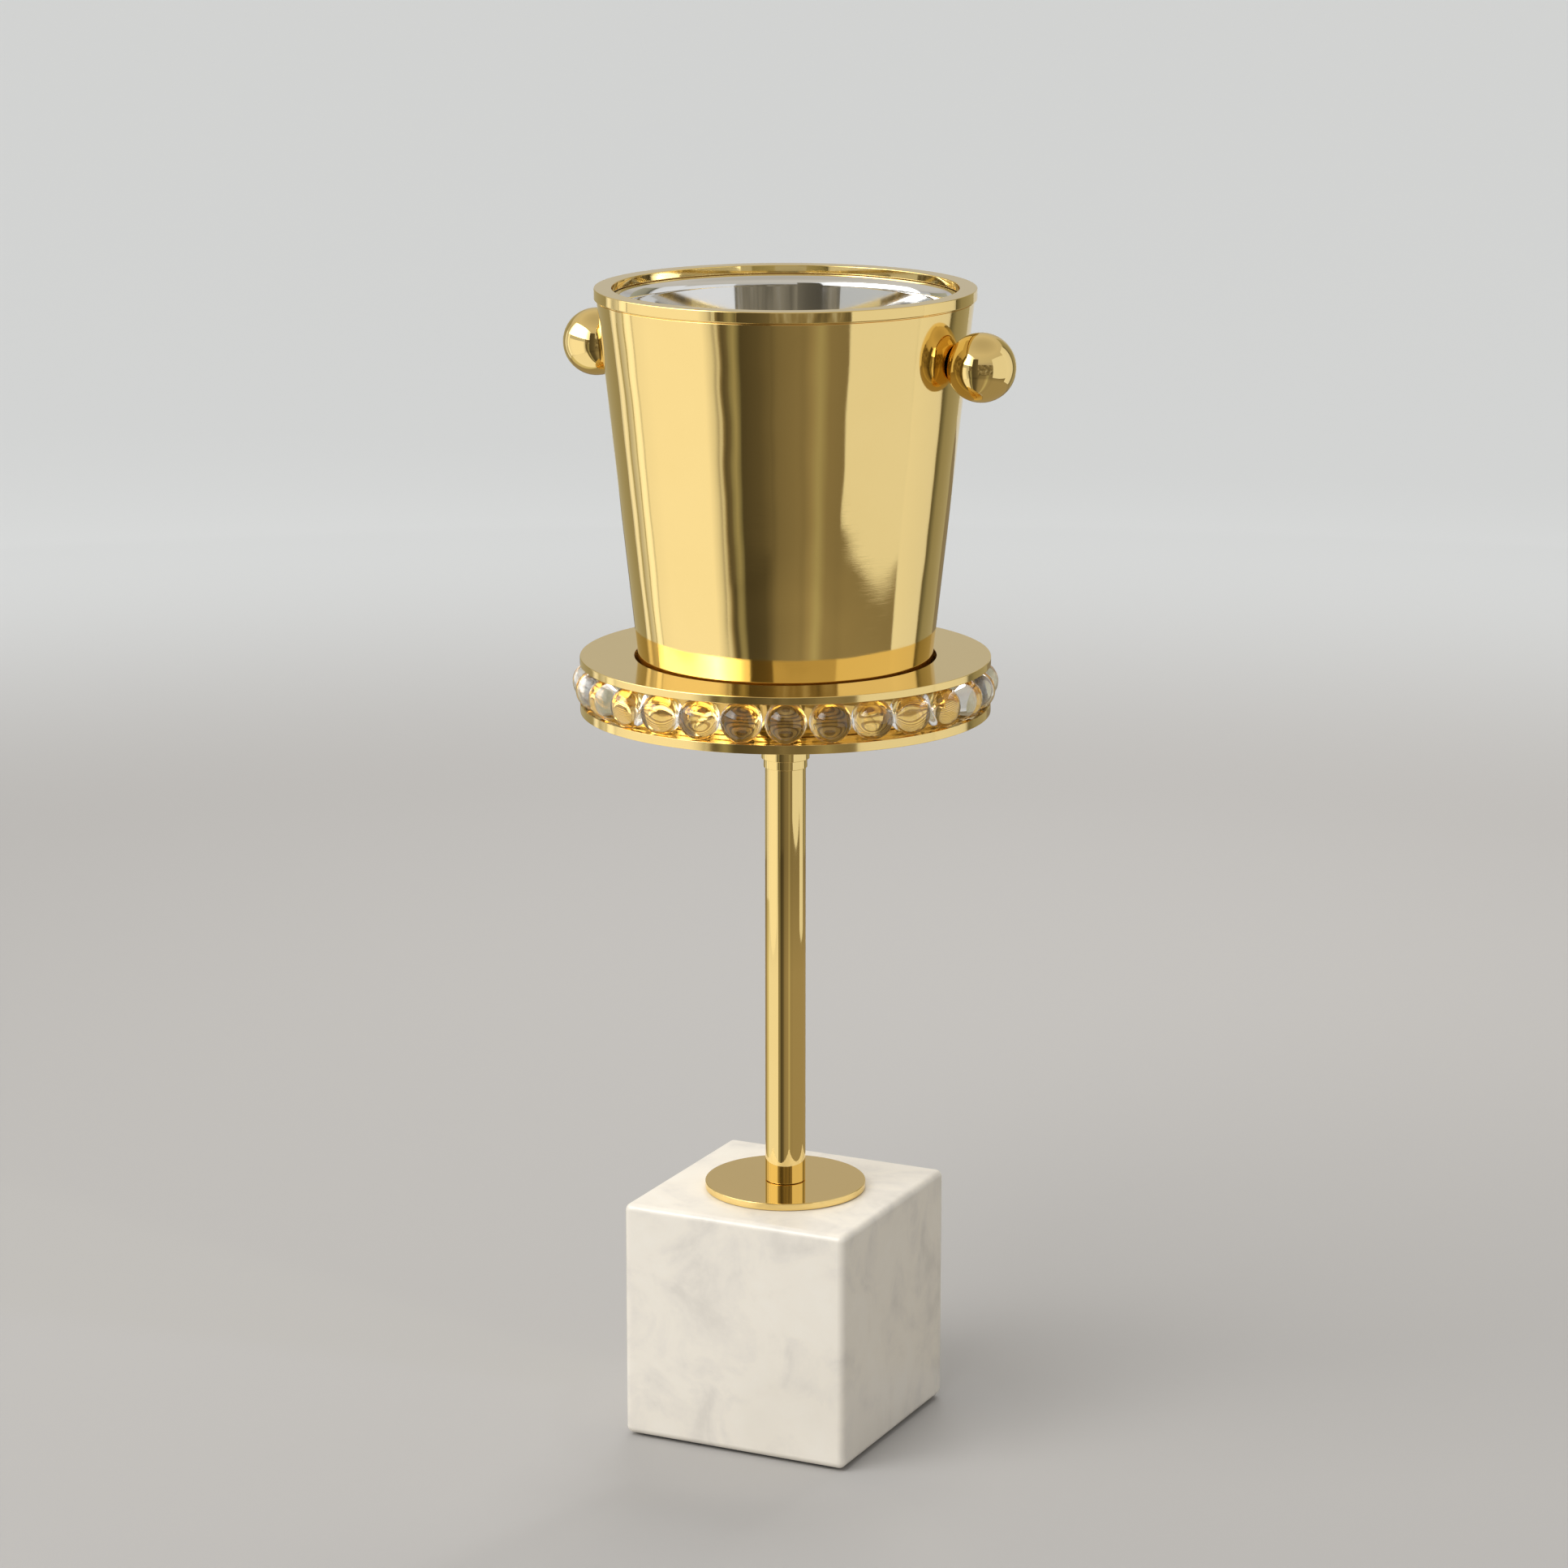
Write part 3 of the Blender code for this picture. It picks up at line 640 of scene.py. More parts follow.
# %% Sizes of the ball ring
ball_low, ball_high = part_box("glass_ball_01")
BALL_RADIUS = (ball_high.z - ball_low.z) / 2.0
BALL_HEIGHT = (ball_high.z + ball_low.z) / 2.0
RING_RADIUS = abs(ball_high.y + ball_low.y) / 2.0
BALLS = sorted(name for name in frame["nodes"] if name.startswith("glass_ball_"))
RACE_RADIUS = BALL_RADIUS + 0.0004
GROUND_FLAT = 0.00008   # height ground off a ball, above and below
print(len(BALLS), "balls of", round(BALL_RADIUS * 2000, 1), "mm")
print("on a circle of", round(RING_RADIUS * 2000, 1), "mm")


def race(side, face):
    """Groove towards the balls in a plate's face; side is -1 under them and 1 over them."""
    depth = abs(face - BALL_HEIGHT)
    half = math.degrees(math.acos(depth / RACE_RADIUS))
    return arc((RING_RADIUS, BALL_HEIGHT), RACE_RADIUS, 90.0 * side - half, 90.0 * side + half, 8)


# %% Screw holes shared by the plates and the drum
SCREWS = sorted(name for name in frame["nodes"] if name.startswith("ring_screw_"))


def middle(node):
    """Centre of a node's box, on the floor plan."""
    low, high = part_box(node)
    return (low.x + high.x) / 2.0, (low.y + high.y) / 2.0


def drill(piece, outline):
    """Take a turned tool out of a piece at each ring screw."""
    for screw in SCREWS:
        tool = turn("drill", outline, 32, 0.0)
        tool.location = (*middle(screw), 0.0)
        cut(piece, tool)


screw_low, screw_high = heights(SCREWS[0])
screw_box_low, screw_box_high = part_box(SCREWS[0])
SCREW_HEAD = (screw_box_high.x - screw_box_low.x) / 2.0
SCREW_SHANK = SCREW_HEAD / 2.0      # a countersunk head is twice as wide as its shank
print("ring screws", SCREWS, "head radius", round(SCREW_HEAD * 1000, 2), "mm")


# %% Lower plate
def lower_plate():
    """Plate with its groove on top, a countersink for one bolt, and three from below for screws."""
    low, high = heights("lower_plate")
    hole, edge = radii("lower_plate")
    sink = min(r for r, z in corners("lower_plate") if abs(z - high) < NEAR)
    outline = [(hole, low), (edge, low), (edge, high)]
    outline += reversed(race(-1, high))
    outline += [(sink, high), (hole, high - sink + hole)]
    plate = turn("lower_plate_fine", outline, FINE, 0.0)
    head = SCREW_HEAD + FIT
    shank = SCREW_SHANK + FIT
    tool = [(0.0, low - head), (2.0 * head, low - head), (shank, low + head - shank)]
    tool += [(shank, high + head), (0.0, high + head)]
    drill(plate, tool)
    soften(plate, BREAK, 3)
    plate_brass.onto(plate)
    settle(plate, "lower_plate", "stand")


lower_plate()


# %% Drum and upper plate
def drum_ring():
    """Ring behind the balls, bored through for the screws."""
    low, high = heights("drum_ring")
    inner, outer = radii("drum_ring", low)
    drum = turn("drum_ring_fine", sleeve(inner, outer, low, high), FINE, 0.0)
    shank = SCREW_SHANK + FIT
    drill(drum, sleeve(0.0, shank, low - shank, high + shank))
    soften(drum, 0.0002, 2)
    drum_brass.onto(drum)
    settle(drum, "drum_ring", "stand")


def upper_plate():
    """Ring over the balls, with blind holes in its underside."""
    low, high = heights("upper_plate")
    hole, edge = radii("upper_plate")
    outline = [(hole, low), *reversed(race(1, low)), (edge, low), (edge, high), (hole, high)]
    plate = turn("upper_plate_fine", outline, FINE, 0.0)
    shank = SCREW_SHANK + FIT
    drill(plate, sleeve(0.0, shank, low - shank, screw_high + 2.0 * FIT))
    soften(plate, 0.0005, 4)
    plate_brass.onto(plate)
    settle(plate, "upper_plate", "stand")


drum_ring()
upper_plate()


# %% Glass balls
def ball_master():
    """A cube pushed out to a ball, with two ground flats where the plates hold it."""
    deselect()
    bpy.ops.mesh.primitive_cube_add(size=2.0 * BALL_RADIUS, location=(0.0, 0.0, 0.0))
    ball = bpy.context.object
    finer = ball.modifiers.new("finer", "SUBSURF")
    finer.subdivision_type = "SIMPLE"
    finer.levels = 5
    finer.render_levels = 5
    rounder = ball.modifiers.new("rounder", "CAST")
    rounder.factor = 1.0
    rounder.size = BALL_RADIUS
    rounder.use_radius_as_size = False
    apply_modifiers(ball)
    edit_all()
    for side in (1.0, -1.0):
        bpy.ops.mesh.select_all(action="SELECT")
        bpy.ops.mesh.bisect(
            plane_co=(0.0, 0.0, side * (BALL_RADIUS - GROUND_FLAT)),
            plane_no=(0.0, 0.0, side),
            clear_outer=True,
            use_fill=True,
        )
    bpy.ops.mesh.select_all(action="SELECT")
    bpy.ops.mesh.normals_make_consistent(inside=False)
    bpy.ops.object.mode_set(mode="OBJECT")
    bpy.ops.object.shade_smooth()
    return ball


def glass_ring():
    """One copy of the ball for each ball of the frame."""
    master = ball_master()
    clear_glass.onto(master)
    for node in BALLS:
        x, y = middle(node)
        ball = master.copy()
        ball.data = master.data.copy()
        ball.name = f"{node}_fine"
        ball.data.name = ball.name
        ball.location = (x, y, BALL_HEIGHT)
        ball.rotation_euler = (0.0, 0.0, math.atan2(y, x))
        bpy.context.scene.collection.objects.link(ball)
        fix_place(ball)
        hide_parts(node)
        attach(ball, "stand")
    faces = len(master.data.polygons)
    bpy.data.objects.remove(master, do_unlink=True)
    print(len(BALLS), "balls of", faces, "faces")


glass_ring()

# %% [markdown]
# ## The bucket
#
# The wall is a cone of spun sheet. The ring on top hides the joint between the wall and the
# liner: it has a flat top, a short skirt outside and a lip inside that presses on the liner's
# flange. The liner rolls over from that flange into a straight wall and ends in a floor with a
# generous corner, so that it can be wiped clean. A fine line is scribed round the wall just under
# the ring, and a hole is drilled for each handle's screw. The outline gets a point above and below
# those holes, so that a cut disturbs only the short band of faces between them.

# %% How the wall leans and where the handles sit
SIDES = {"right": 1, "left": -1}
Seat = namedtuple("Seat", "outward middle length edge bore")


def wall_tilt():
    """How far the bucket's wall leans outwards."""
    low, high = heights("bucket_shell")
    foot = radii("bucket_shell", low)[1]
    shoulder = max(z for r, z in corners("bucket_shell") if z < high - NEAR)
    return math.atan((radii("bucket_shell", shoulder)[1] - foot) / (shoulder - low))


def handle_seat(word):
    """A handle's outward axis, the middle of its flat, its length, and its flat's two radii."""
    tilt = wall_tilt()
    outward = Vector((SIDES[word] * math.cos(tilt), 0.0, -math.sin(tilt)))
    points = [Vector(point.co) for point in frame["nodes"][f"handle_ball_{word}"].data.vertices]
    tip = max(points, key=lambda point: point.dot(outward))
    flat = min(point.dot(outward) for point in points)
    on_flat = [point for point in points if point.dot(outward) - flat < NEAR]
    spread = [(point - tip - outward * (point - tip).dot(outward)).length for point in on_flat]
    length = tip.dot(outward) - flat
    return Seat(outward, tip - outward * length, length, max(spread), min(spread))


def lay_on_handle(piece, word, place):
    """Turn a piece's Z to the handle's axis and move its zero to a place."""
    piece.rotation_euler = (0.0, math.pi / 2.0 + wall_tilt(), 0.0 if word == "right" else math.pi)
    piece.location = place


print("wall leans", round(math.degrees(wall_tilt()), 2), "degrees")

# %% Shell and base
BAND = 0.005            # half the height of the band round the handles' holes
SCRIBED = 0.00045       # depth of the scribed line
DRILLED = 0.006         # half the length of the drill


def bucket_shell():
    """Cone with a scribed line under the rim ring and a hole for each handle's screw."""
    low, high = heights("bucket_shell")
    foot_in, foot_out = radii("bucket_shell", low)
    top_in, top_out = radii("bucket_shell", high)
    shoulder = max(z for r, z in corners("bucket_shell") if z < high - NEAR and r > foot_out + NEAR)
    wide = radii("bucket_shell", shoulder)[1]
    grow = math.tan(wall_tilt())
    joint = heights("rim_ring")[0]
    hole = handle_seat("right").middle.z

    def outside(height, depth=0.0):
        return foot_out + (height - low) * grow - depth, height

    def inside(height):
        return foot_in + (height - low) * (top_in - foot_in) / (high - low), height

    outline = [inside(low), outside(low), outside(hole - BAND), outside(hole + BAND)]
    outline += [outside(joint - 0.0011), outside(joint - 0.00065, SCRIBED), outside(joint - 0.0002)]
    outline += [(wide, shoulder), (top_out, high), inside(high), inside(hole + BAND), inside(hole - BAND)]
    shell = turn("bucket_shell_fine", outline, FINE, 0.0)
    for word in SIDES:
        seat = handle_seat(word)
        tool = turn("wall_drill", sleeve(0.0, seat.bore + FIT, -DRILLED, DRILLED), 32, 0.0)
        lay_on_handle(tool, word, seat.middle)
        cut(shell, tool)
    soften(shell, 0.0001, 2)
    bucket_brass.onto(shell)
    settle(shell, "bucket_shell", "bucket")


def bucket_base():
    """Pan set up inside the foot."""
    low, high = heights("bucket_base")
    floor = min(z for r, z in corners("bucket_base") if z > low + NEAR)
    skirt_in, skirt_out = radii("bucket_base", low)
    corner = radii("bucket_base", floor)[1]
    top = radii("bucket_base", high)[1]
    outline = [(0.0, floor), (corner, floor), (skirt_in, low), (skirt_out, low), (top, high), (0.0, high)]
    base = turn("bucket_base_fine", outline, FINE, 0.0002, 2)
    turned_brass.onto(base)
    settle(base, "bucket_base", "bucket")


bucket_shell()
bucket_base()


# %% Rim ring
def rim_ring():
    """Flat-topped ring with a skirt outside and a lip inside."""
    low, high = heights("rim_ring")
    inner, outer = radii("rim_ring")
    rebate = radii("rim_ring", low)[0]
    lip = min(z for r, z in corners("rim_ring") if z > low + NEAR)
    outline = [(inner, lip), (rebate, lip), (rebate, low), (outer, low), (outer, high), (inner, high)]
    ring = turn("rim_ring_fine", outline, FINE, 0.0007, 5)
    mirror_brass.onto(ring)
    settle(ring, "rim_ring", "bucket")


rim_ring()


# %% Liner
ROLL_STEPS = 16


def liner_side(flange, mouth, top, wall, wall_top, floor, centre, tilt):
    """One face of the liner from its flange to its floor."""
    points = [(flange, top)]
    for step in range(ROLL_STEPS + 1):
        angle = math.pi / 2.0 * step / ROLL_STEPS
        across = (mouth - wall) * math.sin(angle)
        down = (top - wall_top) * math.cos(angle)
        points.append((mouth - across, wall_top + down))
    corner = centre[1] - floor
    points += arc(centre, corner, -math.degrees(tilt), -90.0, 12)
    points.append((0.0, floor))
    return points


def liner():
    """Steel liner: rolled mouth, straight wall, rounded corner and flat floor."""
    low, top = heights("liner")
    floor = min(z for r, z in corners("liner") if z > low + NEAR)
    sheet = floor - low
    mouth, flange = radii("liner", top)
    half = (low + top) / 2.0
    wall_top = min(z for r, z in corners("liner") if z > half)
    wall = radii("liner", wall_top)[0]
    knee = max(z for r, z in corners("liner") if z < half)
    tilt = math.atan((wall - radii("liner", knee)[0]) / (wall_top - knee))
    corner = (radii("liner", knee)[0] - radii("liner", floor)[0]) / math.cos(tilt)
    centre = (radii("liner", floor)[0], floor + corner)
    inside = liner_side(flange, mouth, top, wall, wall_top, floor, centre, tilt)
    outside = liner_side(flange, mouth, top - sheet, wall + sheet, wall_top, low, centre, tilt)
    piece = turn("liner_fine", [*reversed(inside), *outside], FINE, 0.0, 0, 7.5)
    liner_steel.onto(piece)
    settle(piece, "liner", "bucket")


liner()

# %% [markdown]
# ## Ball handles
#
# Each handle is a brass ball turned with a small flat that meets the wall, and a blind hole for its
# screw. It is turned upright, tipped so that its axis stands square to the sloping wall, and moved
# out to its place, which then goes into its mesh.

# %% Handles
HANDLE_HOLE = 0.015     # depth of the blind hole


def handle(word):
    """Ball with its flat on the wall, on the right or on the left."""
    node = f"handle_ball_{word}"
    seat = handle_seat(word)
    radius = (seat.edge ** 2 + seat.length ** 2) / (2.0 * seat.length)
    back = seat.length - radius
    outline = [(0.0, HANDLE_HOLE - back), (seat.bore, HANDLE_HOLE - back), (seat.bore, -back)]
    outline += arc((0.0, 0.0), radius, -math.degrees(math.asin(back / radius)), 90.0, 48)[:-1]
    outline.append((0.0, radius))
    ball = turn(f"{node}_fine", outline, 128, 0.0003, 3)
    lay_on_handle(ball, word, seat.middle + seat.outward * back)
    fix_place(ball)
    mirror_brass.onto(ball)
    settle(ball, node, "bucket")
    print(word, "handle: ball", round(radius * 2000, 2), "mm, flat", round(seat.edge * 2000, 2), "mm")


for word in SIDES:
    handle(word)

# %% [markdown]
# ## Screws that can be seen
#
# Three countersunk screws show from below and one bolt shows when the bucket is out. Their heads
# are turned with a cone, and a six-sided key hole is sunk by a Boolean. The other screws, washers
# and plugs are closed in, so the frame's own solids stay and only get their finish.

# %% Countersunk screws
POINT = 0.0004          # bevel at the end of a screw
SCREW_KEY = (0.00144, 0.0014)
BOLT_KEY = (0.00289, 0.0028)


def countersunk(node, face, end, head, shank, key, slot, finish):
    """Screw with its flat head at one height and its end at another; key is a radius and a depth."""
    sign = 1.0 if end > face else -1.0
    outline = [(0.0, face), (head, face), (shank, face + sign * (head - shank))]
    outline += [(shank, end - sign * POINT), (shank - POINT, end), (0.0, end)]
    screw = turn(f"{node}_fine", outline, 48, 0.00012, 2)
    deselect()
    across, depth = key
    bpy.ops.mesh.primitive_cylinder_add(
        vertices=6, radius=across, depth=2.0 * depth, location=(0.0, 0.0, face)
    )
    cut(screw, bpy.context.object)
    soften(screw, 0.0)
    screw.location = (*middle(node), 0.0)
    fix_place(screw)
    finish.onto(screw)
    settle(screw, node, "stand")


for node in SCREWS:
    sizes = (screw_low, screw_high, SCREW_HEAD, SCREW_SHANK)
    countersunk(node, *sizes, SCREW_KEY, "polished_brass", mirror_brass)
bolt_low, bolt_high = heights("plate_bolt")
sizes = (bolt_high, bolt_low, radii("plate_bolt", bolt_high)[1], radii("plate_bolt", bolt_low)[1])
countersunk("plate_bolt", *sizes, BOLT_KEY, "zinc_steel", zinc_steel)

# %% Finishes on the frame's own hidden pieces
HIDDEN = {
    "base_bolt": zinc_steel,
    "base_washer": zinc_steel,
    "stem_foot_plug": turned_brass,
    "stem_head_plug": turned_brass,
    "handle_screw_left": zinc_steel,
    "handle_screw_right": zinc_steel,
    "handle_washer_left": zinc_steel,
    "handle_washer_right": zinc_steel,
}
for node, finish in HIDDEN.items():
    slots = frame["nodes"][node].material_slots
    if not slots:
        frame["nodes"][node].data.materials.append(finish.material)
    for slot in slots:
        slot.material = finish.material
print("hidden pieces finished:", len(HIDDEN))

# %% [markdown]
# ## Camera
#
# The camera stands a little to the left of the cube's front corner, at chest height, and looks
# down on the stand through a long lens. A long lens keeps the cube's uprights nearly parallel.

# %% Camera
AZIMUTH = math.radians(25.65)
AWAY = 2.8945
EYE = 1.1036
PITCH = math.radians(13.356)
LENS = 109.83
ASIDE = 0.0009          # the camera stands this far to the left of the axis
toward = Vector((math.sin(AZIMUTH), -math.cos(AZIMUTH), 0.0))
rightward = Vector((math.cos(AZIMUTH), math.sin(AZIMUTH), 0.0))

camera_data = bpy.data.cameras.new("camera")
camera_data.sensor_width = 36.0
camera_data.lens = LENS
camera_data.clip_end = 100.0
camera = bpy.data.objects.new("camera", camera_data)
bpy.context.scene.collection.objects.link(camera)
camera.location = toward * AWAY - rightward * ASIDE + Vector((0.0, 0.0, EYE))
camera.rotation_euler = (math.pi / 2.0 - PITCH, 0.0, AZIMUTH)
bpy.context.scene.camera = camera
bpy.context.scene.view_settings.view_transform = "Standard"
print("camera at", [round(value, 3) for value in camera.location])

# %% [markdown]
# ## Floor
#
# The floor is plain and pale, a little lighter far away, where it stands in for the wall.

# %% Floor
FLOOR_SIZE = 80.0
FLOOR_CHANGE = 4.0      # distance over which the floor's tone changes
deselect()
bpy.ops.mesh.primitive_plane_add(size=FLOOR_SIZE, location=(0.0, 0.0, 0.0))
floor = bpy.context.object
floor.name = "floor"
floor_paint = Finish("floor_pale", {"Roughness": 0.9})
away = floor_paint.length(floor_paint.place())
floor_tones = [(0.42, (0.44, 0.425, 0.405)), (0.80, (0.74, 0.75, 0.74))]
floor_paint.feed("Base Color", floor_paint.ramp(away / FLOOR_CHANGE, floor_tones, "EASE"))
floor_paint.onto(floor)
print("floor", FLOOR_SIZE, "m wide")

# %% [markdown]
# ## What the brass sees
#
# A mirror shows the room, so the room is part of the finish. White boards stand to the left and to
# the right, with a bright window over the left one. Between them are dark strips, a dusky end of
# the room behind the camera, and a dim studio floor. They are seen only in reflections and cast no
# shadow, so they never stand in the picture, from whatever side it is taken. Each board is an
# upright plane between two bearings, counted from the camera to the right, and glows with its own
# brightness, which may change from its left edge to its right edge.

# %% Tints and helpers for what only shows in reflections
PLAIN = (1.0, 1.0, 1.0)
WARM = (1.0, 0.98, 0.94)
EARTH = (1.0, 0.86, 0.60)
OLIVE = (1.0, 0.94, 0.66)


def tinted(tint, level):
    """A tint at a brightness."""
    return tuple(level * part for part in tint)


def reflection_only(card):
    """Hide a card from everything but mirror and glass rays."""
    card.visible_camera = False
    card.visible_diffuse = False
    card.visible_shadow = False
    card.visible_volume_scatter = False


def glow(name, strength=1.0):
    """A surface that only gives light; its colour is fed by the caller."""
    finish = Finish(name, {"Base Color": (0.0, 0.0, 0.0, 1.0), "Specular IOR Level": 0.0})
    finish.shader.inputs["Emission Strength"].default_value = strength
    return finish


def bearing(degrees):
    """Horizontal direction at an angle to the right of the camera's."""
    angle = math.radians(degrees)
    return toward * math.cos(angle) + rightward * math.sin(angle)


def upright(name, left, right, low, high):
    """Upright plane between two (bearing, distance) edges, its own X from left to right."""
    start = bearing(left[0]) * left[1]
    end = bearing(right[0]) * right[1]
    across = end - start
    deselect()
    bpy.ops.mesh.primitive_plane_add(size=1.0, location=(0.0, 0.0, 0.0))
    card = bpy.context.object
    card.name = name
    card.scale = (across.length, high - low, 1.0)
    card.rotation_euler = (math.pi / 2.0, 0.0, math.atan2(across.y, across.x))
    card.location = (start + end) / 2.0 + Vector((0.0, 0.0, (low + high) / 2.0))
    reflection_only(card)
    return card


def board(name, left, right, low, high, tint, levels, strength=1.0):
    """Upright board with (place, level) stops from its left edge to its right edge."""
    light = glow(name, strength)
    across = light.node("ShaderNodeSeparateXYZ", {}, {"Vector": light.place()}, "X") + 0.5
    stops = [(at, tinted(tint, level)) for at, level in levels]
    light.feed("Emission Color", light.ramp(across, stops))
    light.onto(upright(name, left, right, low, high))


# %% Boards on the right
board("board_right_far", (38.6, 1.62), (88.0, 1.665), 0.0, 1.6, PLAIN, [(0.0, 0.84), (1.0, 0.84)])
levels = [(0.0, 0.87), (0.9, 0.80), (1.0, 0.70)]
board("board_right_near", (87.0, 1.20), (117.0, 1.20), 0.0, 1.6, PLAIN, levels)
levels = [(0.0, 0.10), (0.25, 0.30), (1.0, 0.42)]
board("gap_right", (119.0, 1.5), (150.0, 1.5), 0.0, 1.7, OLIVE, levels)

# %% Boards and strips on the left, with the window over them
levels = [(0.0, 0.93), (0.25, 1.0), (0.85, 1.0), (0.95, 0.72), (1.0, 0.35)]
board("board_left", (-105.0, 1.3), (-43.0, 1.3), 0.0, 0.78, WARM, levels, 1.06)
levels = [(0.0, 0.85), (0.5, 1.0), (1.0, 0.9)]
board("strip_left_1", (-114.0, 1.3), (-106.5, 1.3), 0.0, 0.9, PLAIN, levels, 1.25)
board("strip_left_2", (-122.0, 1.3), (-115.5, 1.3), 0.0, 0.9, PLAIN, [(0.0, 0.5), (1.0, 0.8)])
levels = [(0.0, 0.6), (0.5, 1.0), (1.0, 0.8)]
board("strip_left_3", (-131.0, 1.3), (-124.0, 1.3), 0.0, 0.9, PLAIN, levels, 1.1)
board("gap_left", (-165.0, 1.5), (-132.0, 1.5), 0.0, 1.2, OLIVE, [(0.0, 0.45), (1.0, 0.33)])
levels = [(0.0, 0.30), (0.1, 0.42), (0.45, 0.60), (0.62, 1.0), (0.70, 0.55), (0.84, 0.18), (1.0, 0.10)]
board("window", (-116.0, 2.3), (-22.0, 2.3), 1.07, 2.3, PLAIN, levels, 7.5)

# %% Strips in the dark part
levels = [(0.0, 0.30), (0.4, 0.10), (1.0, 0.16)]
board("strip_dark_1", (-41.0, 1.45), (-35.5, 1.45), 0.0, 0.6, EARTH, levels)
levels = [(0.0, 0.20), (0.5, 0.36), (1.0, 0.14)]
board("strip_pale", (-35.5, 1.46), (-28.5, 1.46), 0.0, 0.6, OLIVE, levels)
levels = [(0.0, 0.08), (0.6, 0.11), (1.0, 0.16)]
board("strip_dark_2", (-28.0, 1.5), (-9.0, 1.5), 0.0, 1.7, EARTH, levels)

# %% Dusk behind the camera, in soft uneven tones
dusk = glow("dusk")
uneven = dusk.noise(5.0, 3.0, 0.6, (1.6, 0.7, 1.0))
dusk_tones = [(0.38, tinted(EARTH, 0.12)), (0.56, tinted(EARTH, 0.26)), (0.70, tinted(WARM, 0.42))]
dusk.feed("Emission Color", dusk.ramp(uneven, dusk_tones))
dusk.onto(upright("dusk", (-41.0, 2.7), (38.6, 2.7), 0.0, 1.3))

# %% Studio floor: a ring round the cube, a little over the pale floor
RING_OUT = 3.2
RING_WIDE = 3.05
RING_HEIGHT = 0.004
deselect()
bpy.ops.mesh.primitive_circle_add(
    vertices=SLIM, radius=RING_OUT, fill_type="NGON", location=(0.0, 0.0, RING_HEIGHT)
)
studio_floor = bpy.context.object
studio_floor.name = "studio_floor"
edit_all("FACE")
bpy.ops.mesh.inset(thickness=RING_WIDE)
bpy.ops.mesh.delete(type="FACE")
bpy.ops.object.mode_set(mode="OBJECT")
reflection_only(studio_floor)

# %% Its tones follow the bearing: (bearing, tint, level)
SHEET = 0.97            # the white sheet on the floor to the left
FLOOR_TONES = [
    (-180.0, EARTH, 0.34), (-131.0, EARTH, 0.34), (-129.0, OLIVE, 0.60), (-112.0, OLIVE, 0.70),
    (-109.0, WARM, SHEET), (-42.0, WARM, SHEET), (-39.5, EARTH, 0.40), (-37.5, EARTH, 0.10),
    (-35.5, EARTH, 0.13), (-33.5, OLIVE, 0.38), (-31.0, OLIVE, 0.36), (-28.0, EARTH, 0.09),
    (-20.0, EARTH, 0.10), (-14.0, EARTH, 0.12), (-10.0, EARTH, 0.18), (-5.0, EARTH, 0.28),
    (8.0, EARTH, 0.34), (12.0, EARTH, 0.32), (17.0, EARTH, 0.43), (22.0, OLIVE, 0.54),
    (28.0, EARTH, 0.36), (37.0, EARTH, 0.33), (44.0, EARTH, 0.36), (180.0, EARTH, 0.36),
]
tones = glow("studio_floor")
spot = tones.place()
turned = tones.math("ARCTAN2", tones.along(spot, rightward), tones.along(spot, toward)) / TAU + 0.5
stops = [((at + 180.0) / 360.0, tinted(tint, level)) for at, tint, level in FLOOR_TONES]
fade = tones.ramp(tones.length(spot) / RING_OUT, [(0.33, (1.0,) * 3), (0.45, (0.70,) * 3)])
tones.feed("Emission Color", tones.blend(1.0, tones.ramp(turned, stops), fade, "MULTIPLY"))
tones.onto(studio_floor)
print("cards:", [item.name for item in bpy.data.objects if not item.visible_camera])

# %% [markdown]
# ## Lights
#
# The light itself is soft: a large soft box on the left, another high up behind the stand, a broad
# light from above, and the world as a fill. The world is plain grey as a light. In a mirror it is
# a wall that turns into a warm ceiling. A polished bucket mirrors itself many times over, and
# Blender stops after four mirror bounces and leaves the rest black, so it is allowed more.

# %% Soft boxes and broad light
LIGHT_TARGET = Vector((0.0, 0.0, 0.45))
MIRROR_BOUNCES = 10


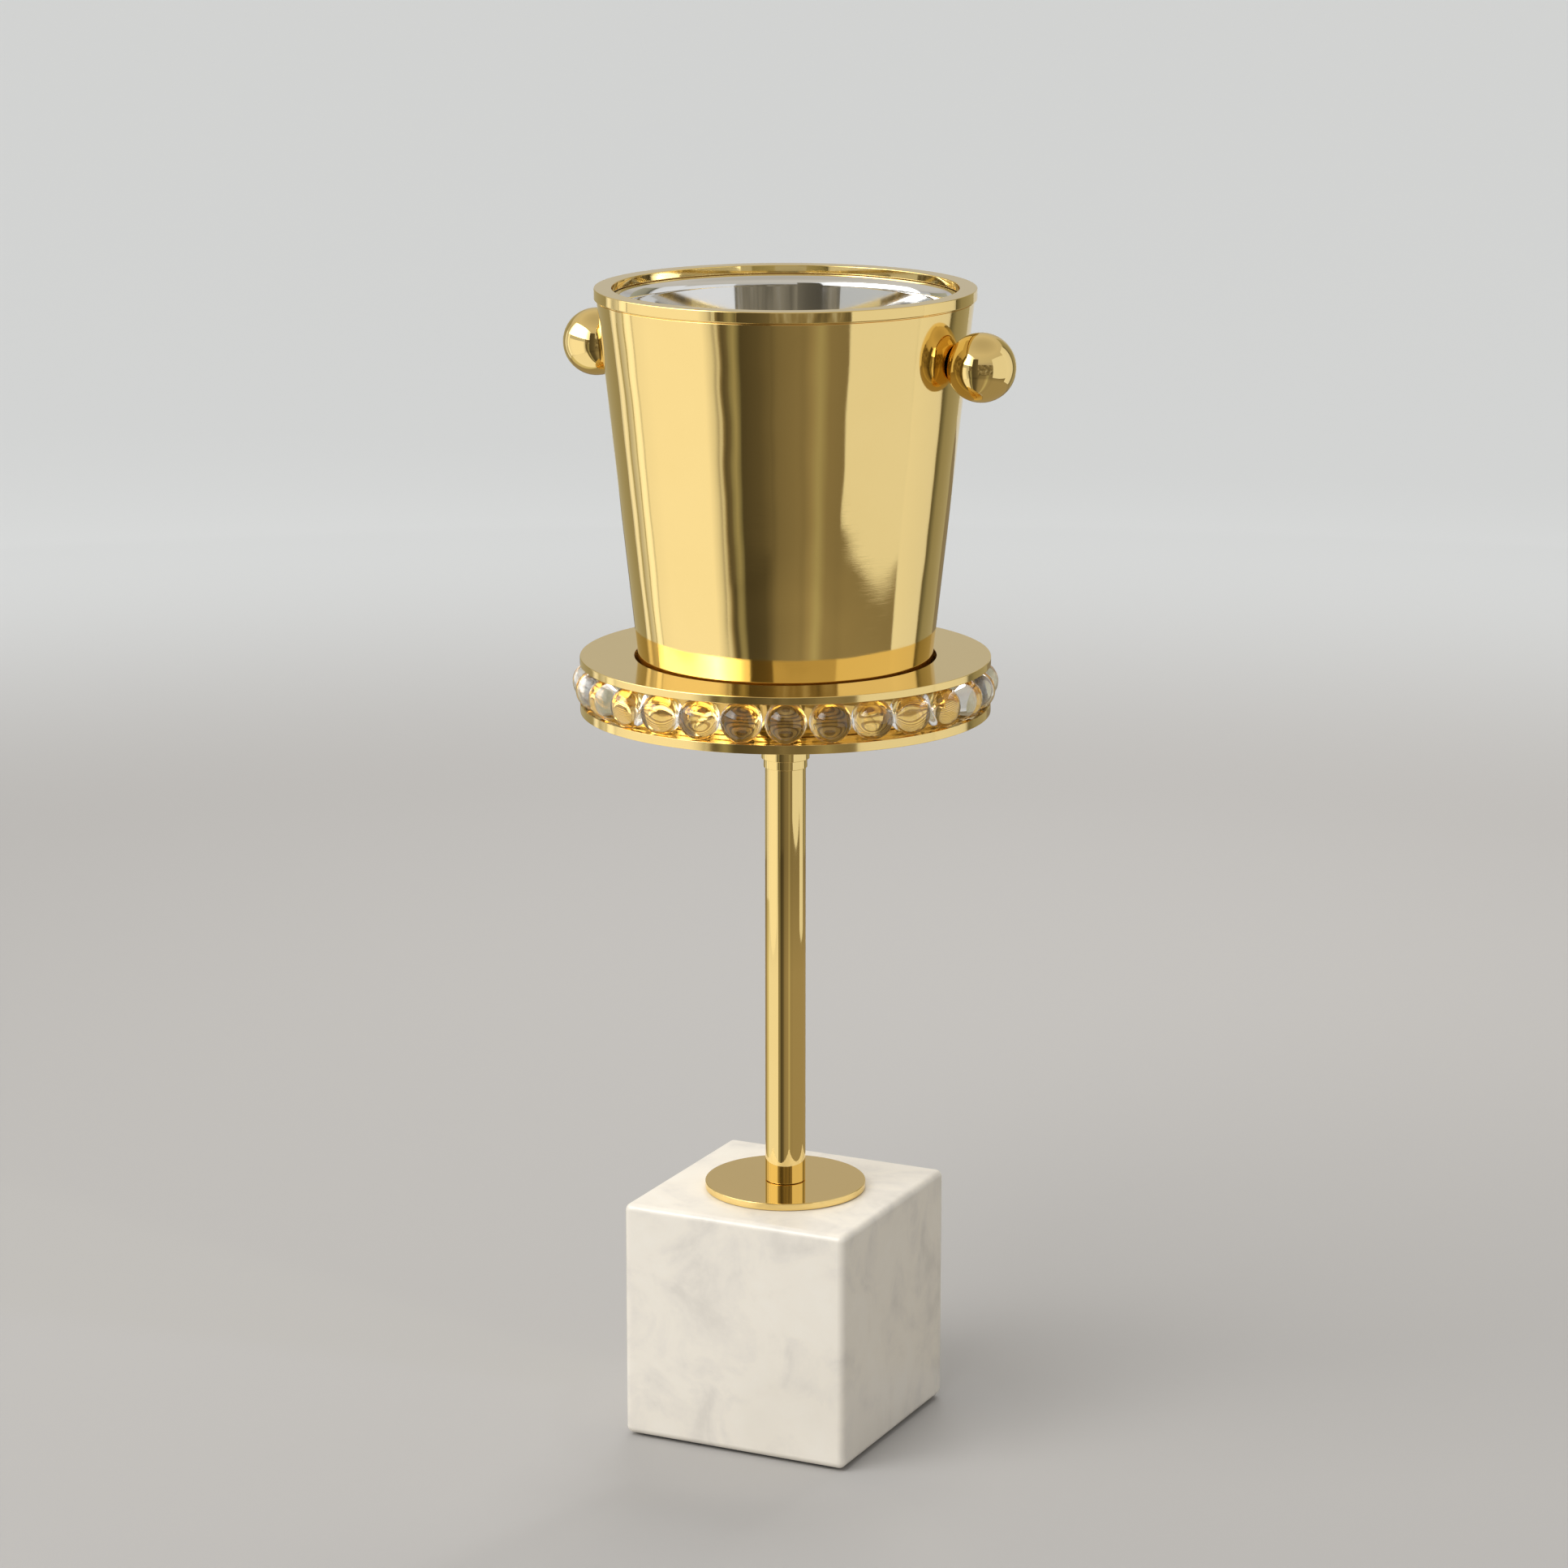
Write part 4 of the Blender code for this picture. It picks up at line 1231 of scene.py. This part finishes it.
def soft_box(name, degrees, elevation, distance, width, height, power):
    """Rectangular light that looks at the middle of the stand."""
    data = bpy.data.lights.new(name, "AREA")
    data.shape = "RECTANGLE"
    data.size = width
    data.size_y = height
    data.energy = power
    light = bpy.data.objects.new(name, data)
    bpy.context.scene.collection.objects.link(light)
    rise = math.radians(elevation)
    away = bearing(degrees) * math.cos(rise) + Vector((0.0, 0.0, math.sin(rise)))
    light.location = LIGHT_TARGET + away * distance
    light.rotation_euler = away.to_track_quat("Z", "Y").to_euler()
    light.visible_glossy = False


soft_box("soft_box_left", -62.0, 26.0, 2.4, 1.1, 0.9, 8.0)
soft_box("soft_box_back", 165.0, 42.0, 2.4, 1.6, 1.0, 22.0)
sun_data = bpy.data.lights.new("high_window", "SUN")
sun_data.energy = 1.60
sun_data.angle = math.radians(50.0)
sun = bpy.data.objects.new("high_window", sun_data)
bpy.context.scene.collection.objects.link(sun)
sun_from = bearing(-50.0) * 0.62 + Vector((0.0, 0.0, 0.78))
sun.rotation_euler = sun_from.to_track_quat("Z", "Y").to_euler()
sun.visible_glossy = False

# %% World: one tone as a fill light, one behind the floor, and a room in mirrors
world = bpy.data.worlds.new("studio")
bpy.context.scene.world = world
sky = Tree(world)
direction = sky.node("ShaderNodeTexCoord", {}, {}, "Generated")
rise = sky.node("ShaderNodeSeparateXYZ", {}, {"Vector": direction}, "Z")
ROOM = [
    (0.00, (0.50, 0.47, 0.40)),
    (0.50, (0.54, 0.54, 0.52)),
    (0.605, (0.54, 0.535, 0.51)),
    (0.655, (0.50, 0.47, 0.44)),
    (0.71, (0.60, 0.57, 0.50)),
    (0.88, (0.67, 0.62, 0.54)),
    (1.00, (0.52, 0.48, 0.41)),
]
FILL = (0.48, 0.48, 0.485, 1.0)
BACKDROP = (0.70, 0.70, 0.69, 1.0)
room = sky.ramp((rise + 1.0) * 0.5, ROOM)
lit = sky.node("ShaderNodeLightPath", {}, {}, "Is Diffuse Ray")
seen = sky.node("ShaderNodeLightPath", {}, {}, "Is Camera Ray")
tone = sky.blend(seen, sky.blend(lit, room, FILL), BACKDROP)
strength = 1.0 - sky.along(direction, rightward) * 0.08
back = sky.inner.nodes["Background"]
sky.inner.links.new(tone.socket, back.inputs["Color"])
sky.inner.links.new(strength.socket, back.inputs["Strength"])
bpy.context.scene.cycles.glossy_bounces = MIRROR_BOUNCES
print("lights:", [item.name for item in bpy.data.objects if item.type == "LIGHT"])
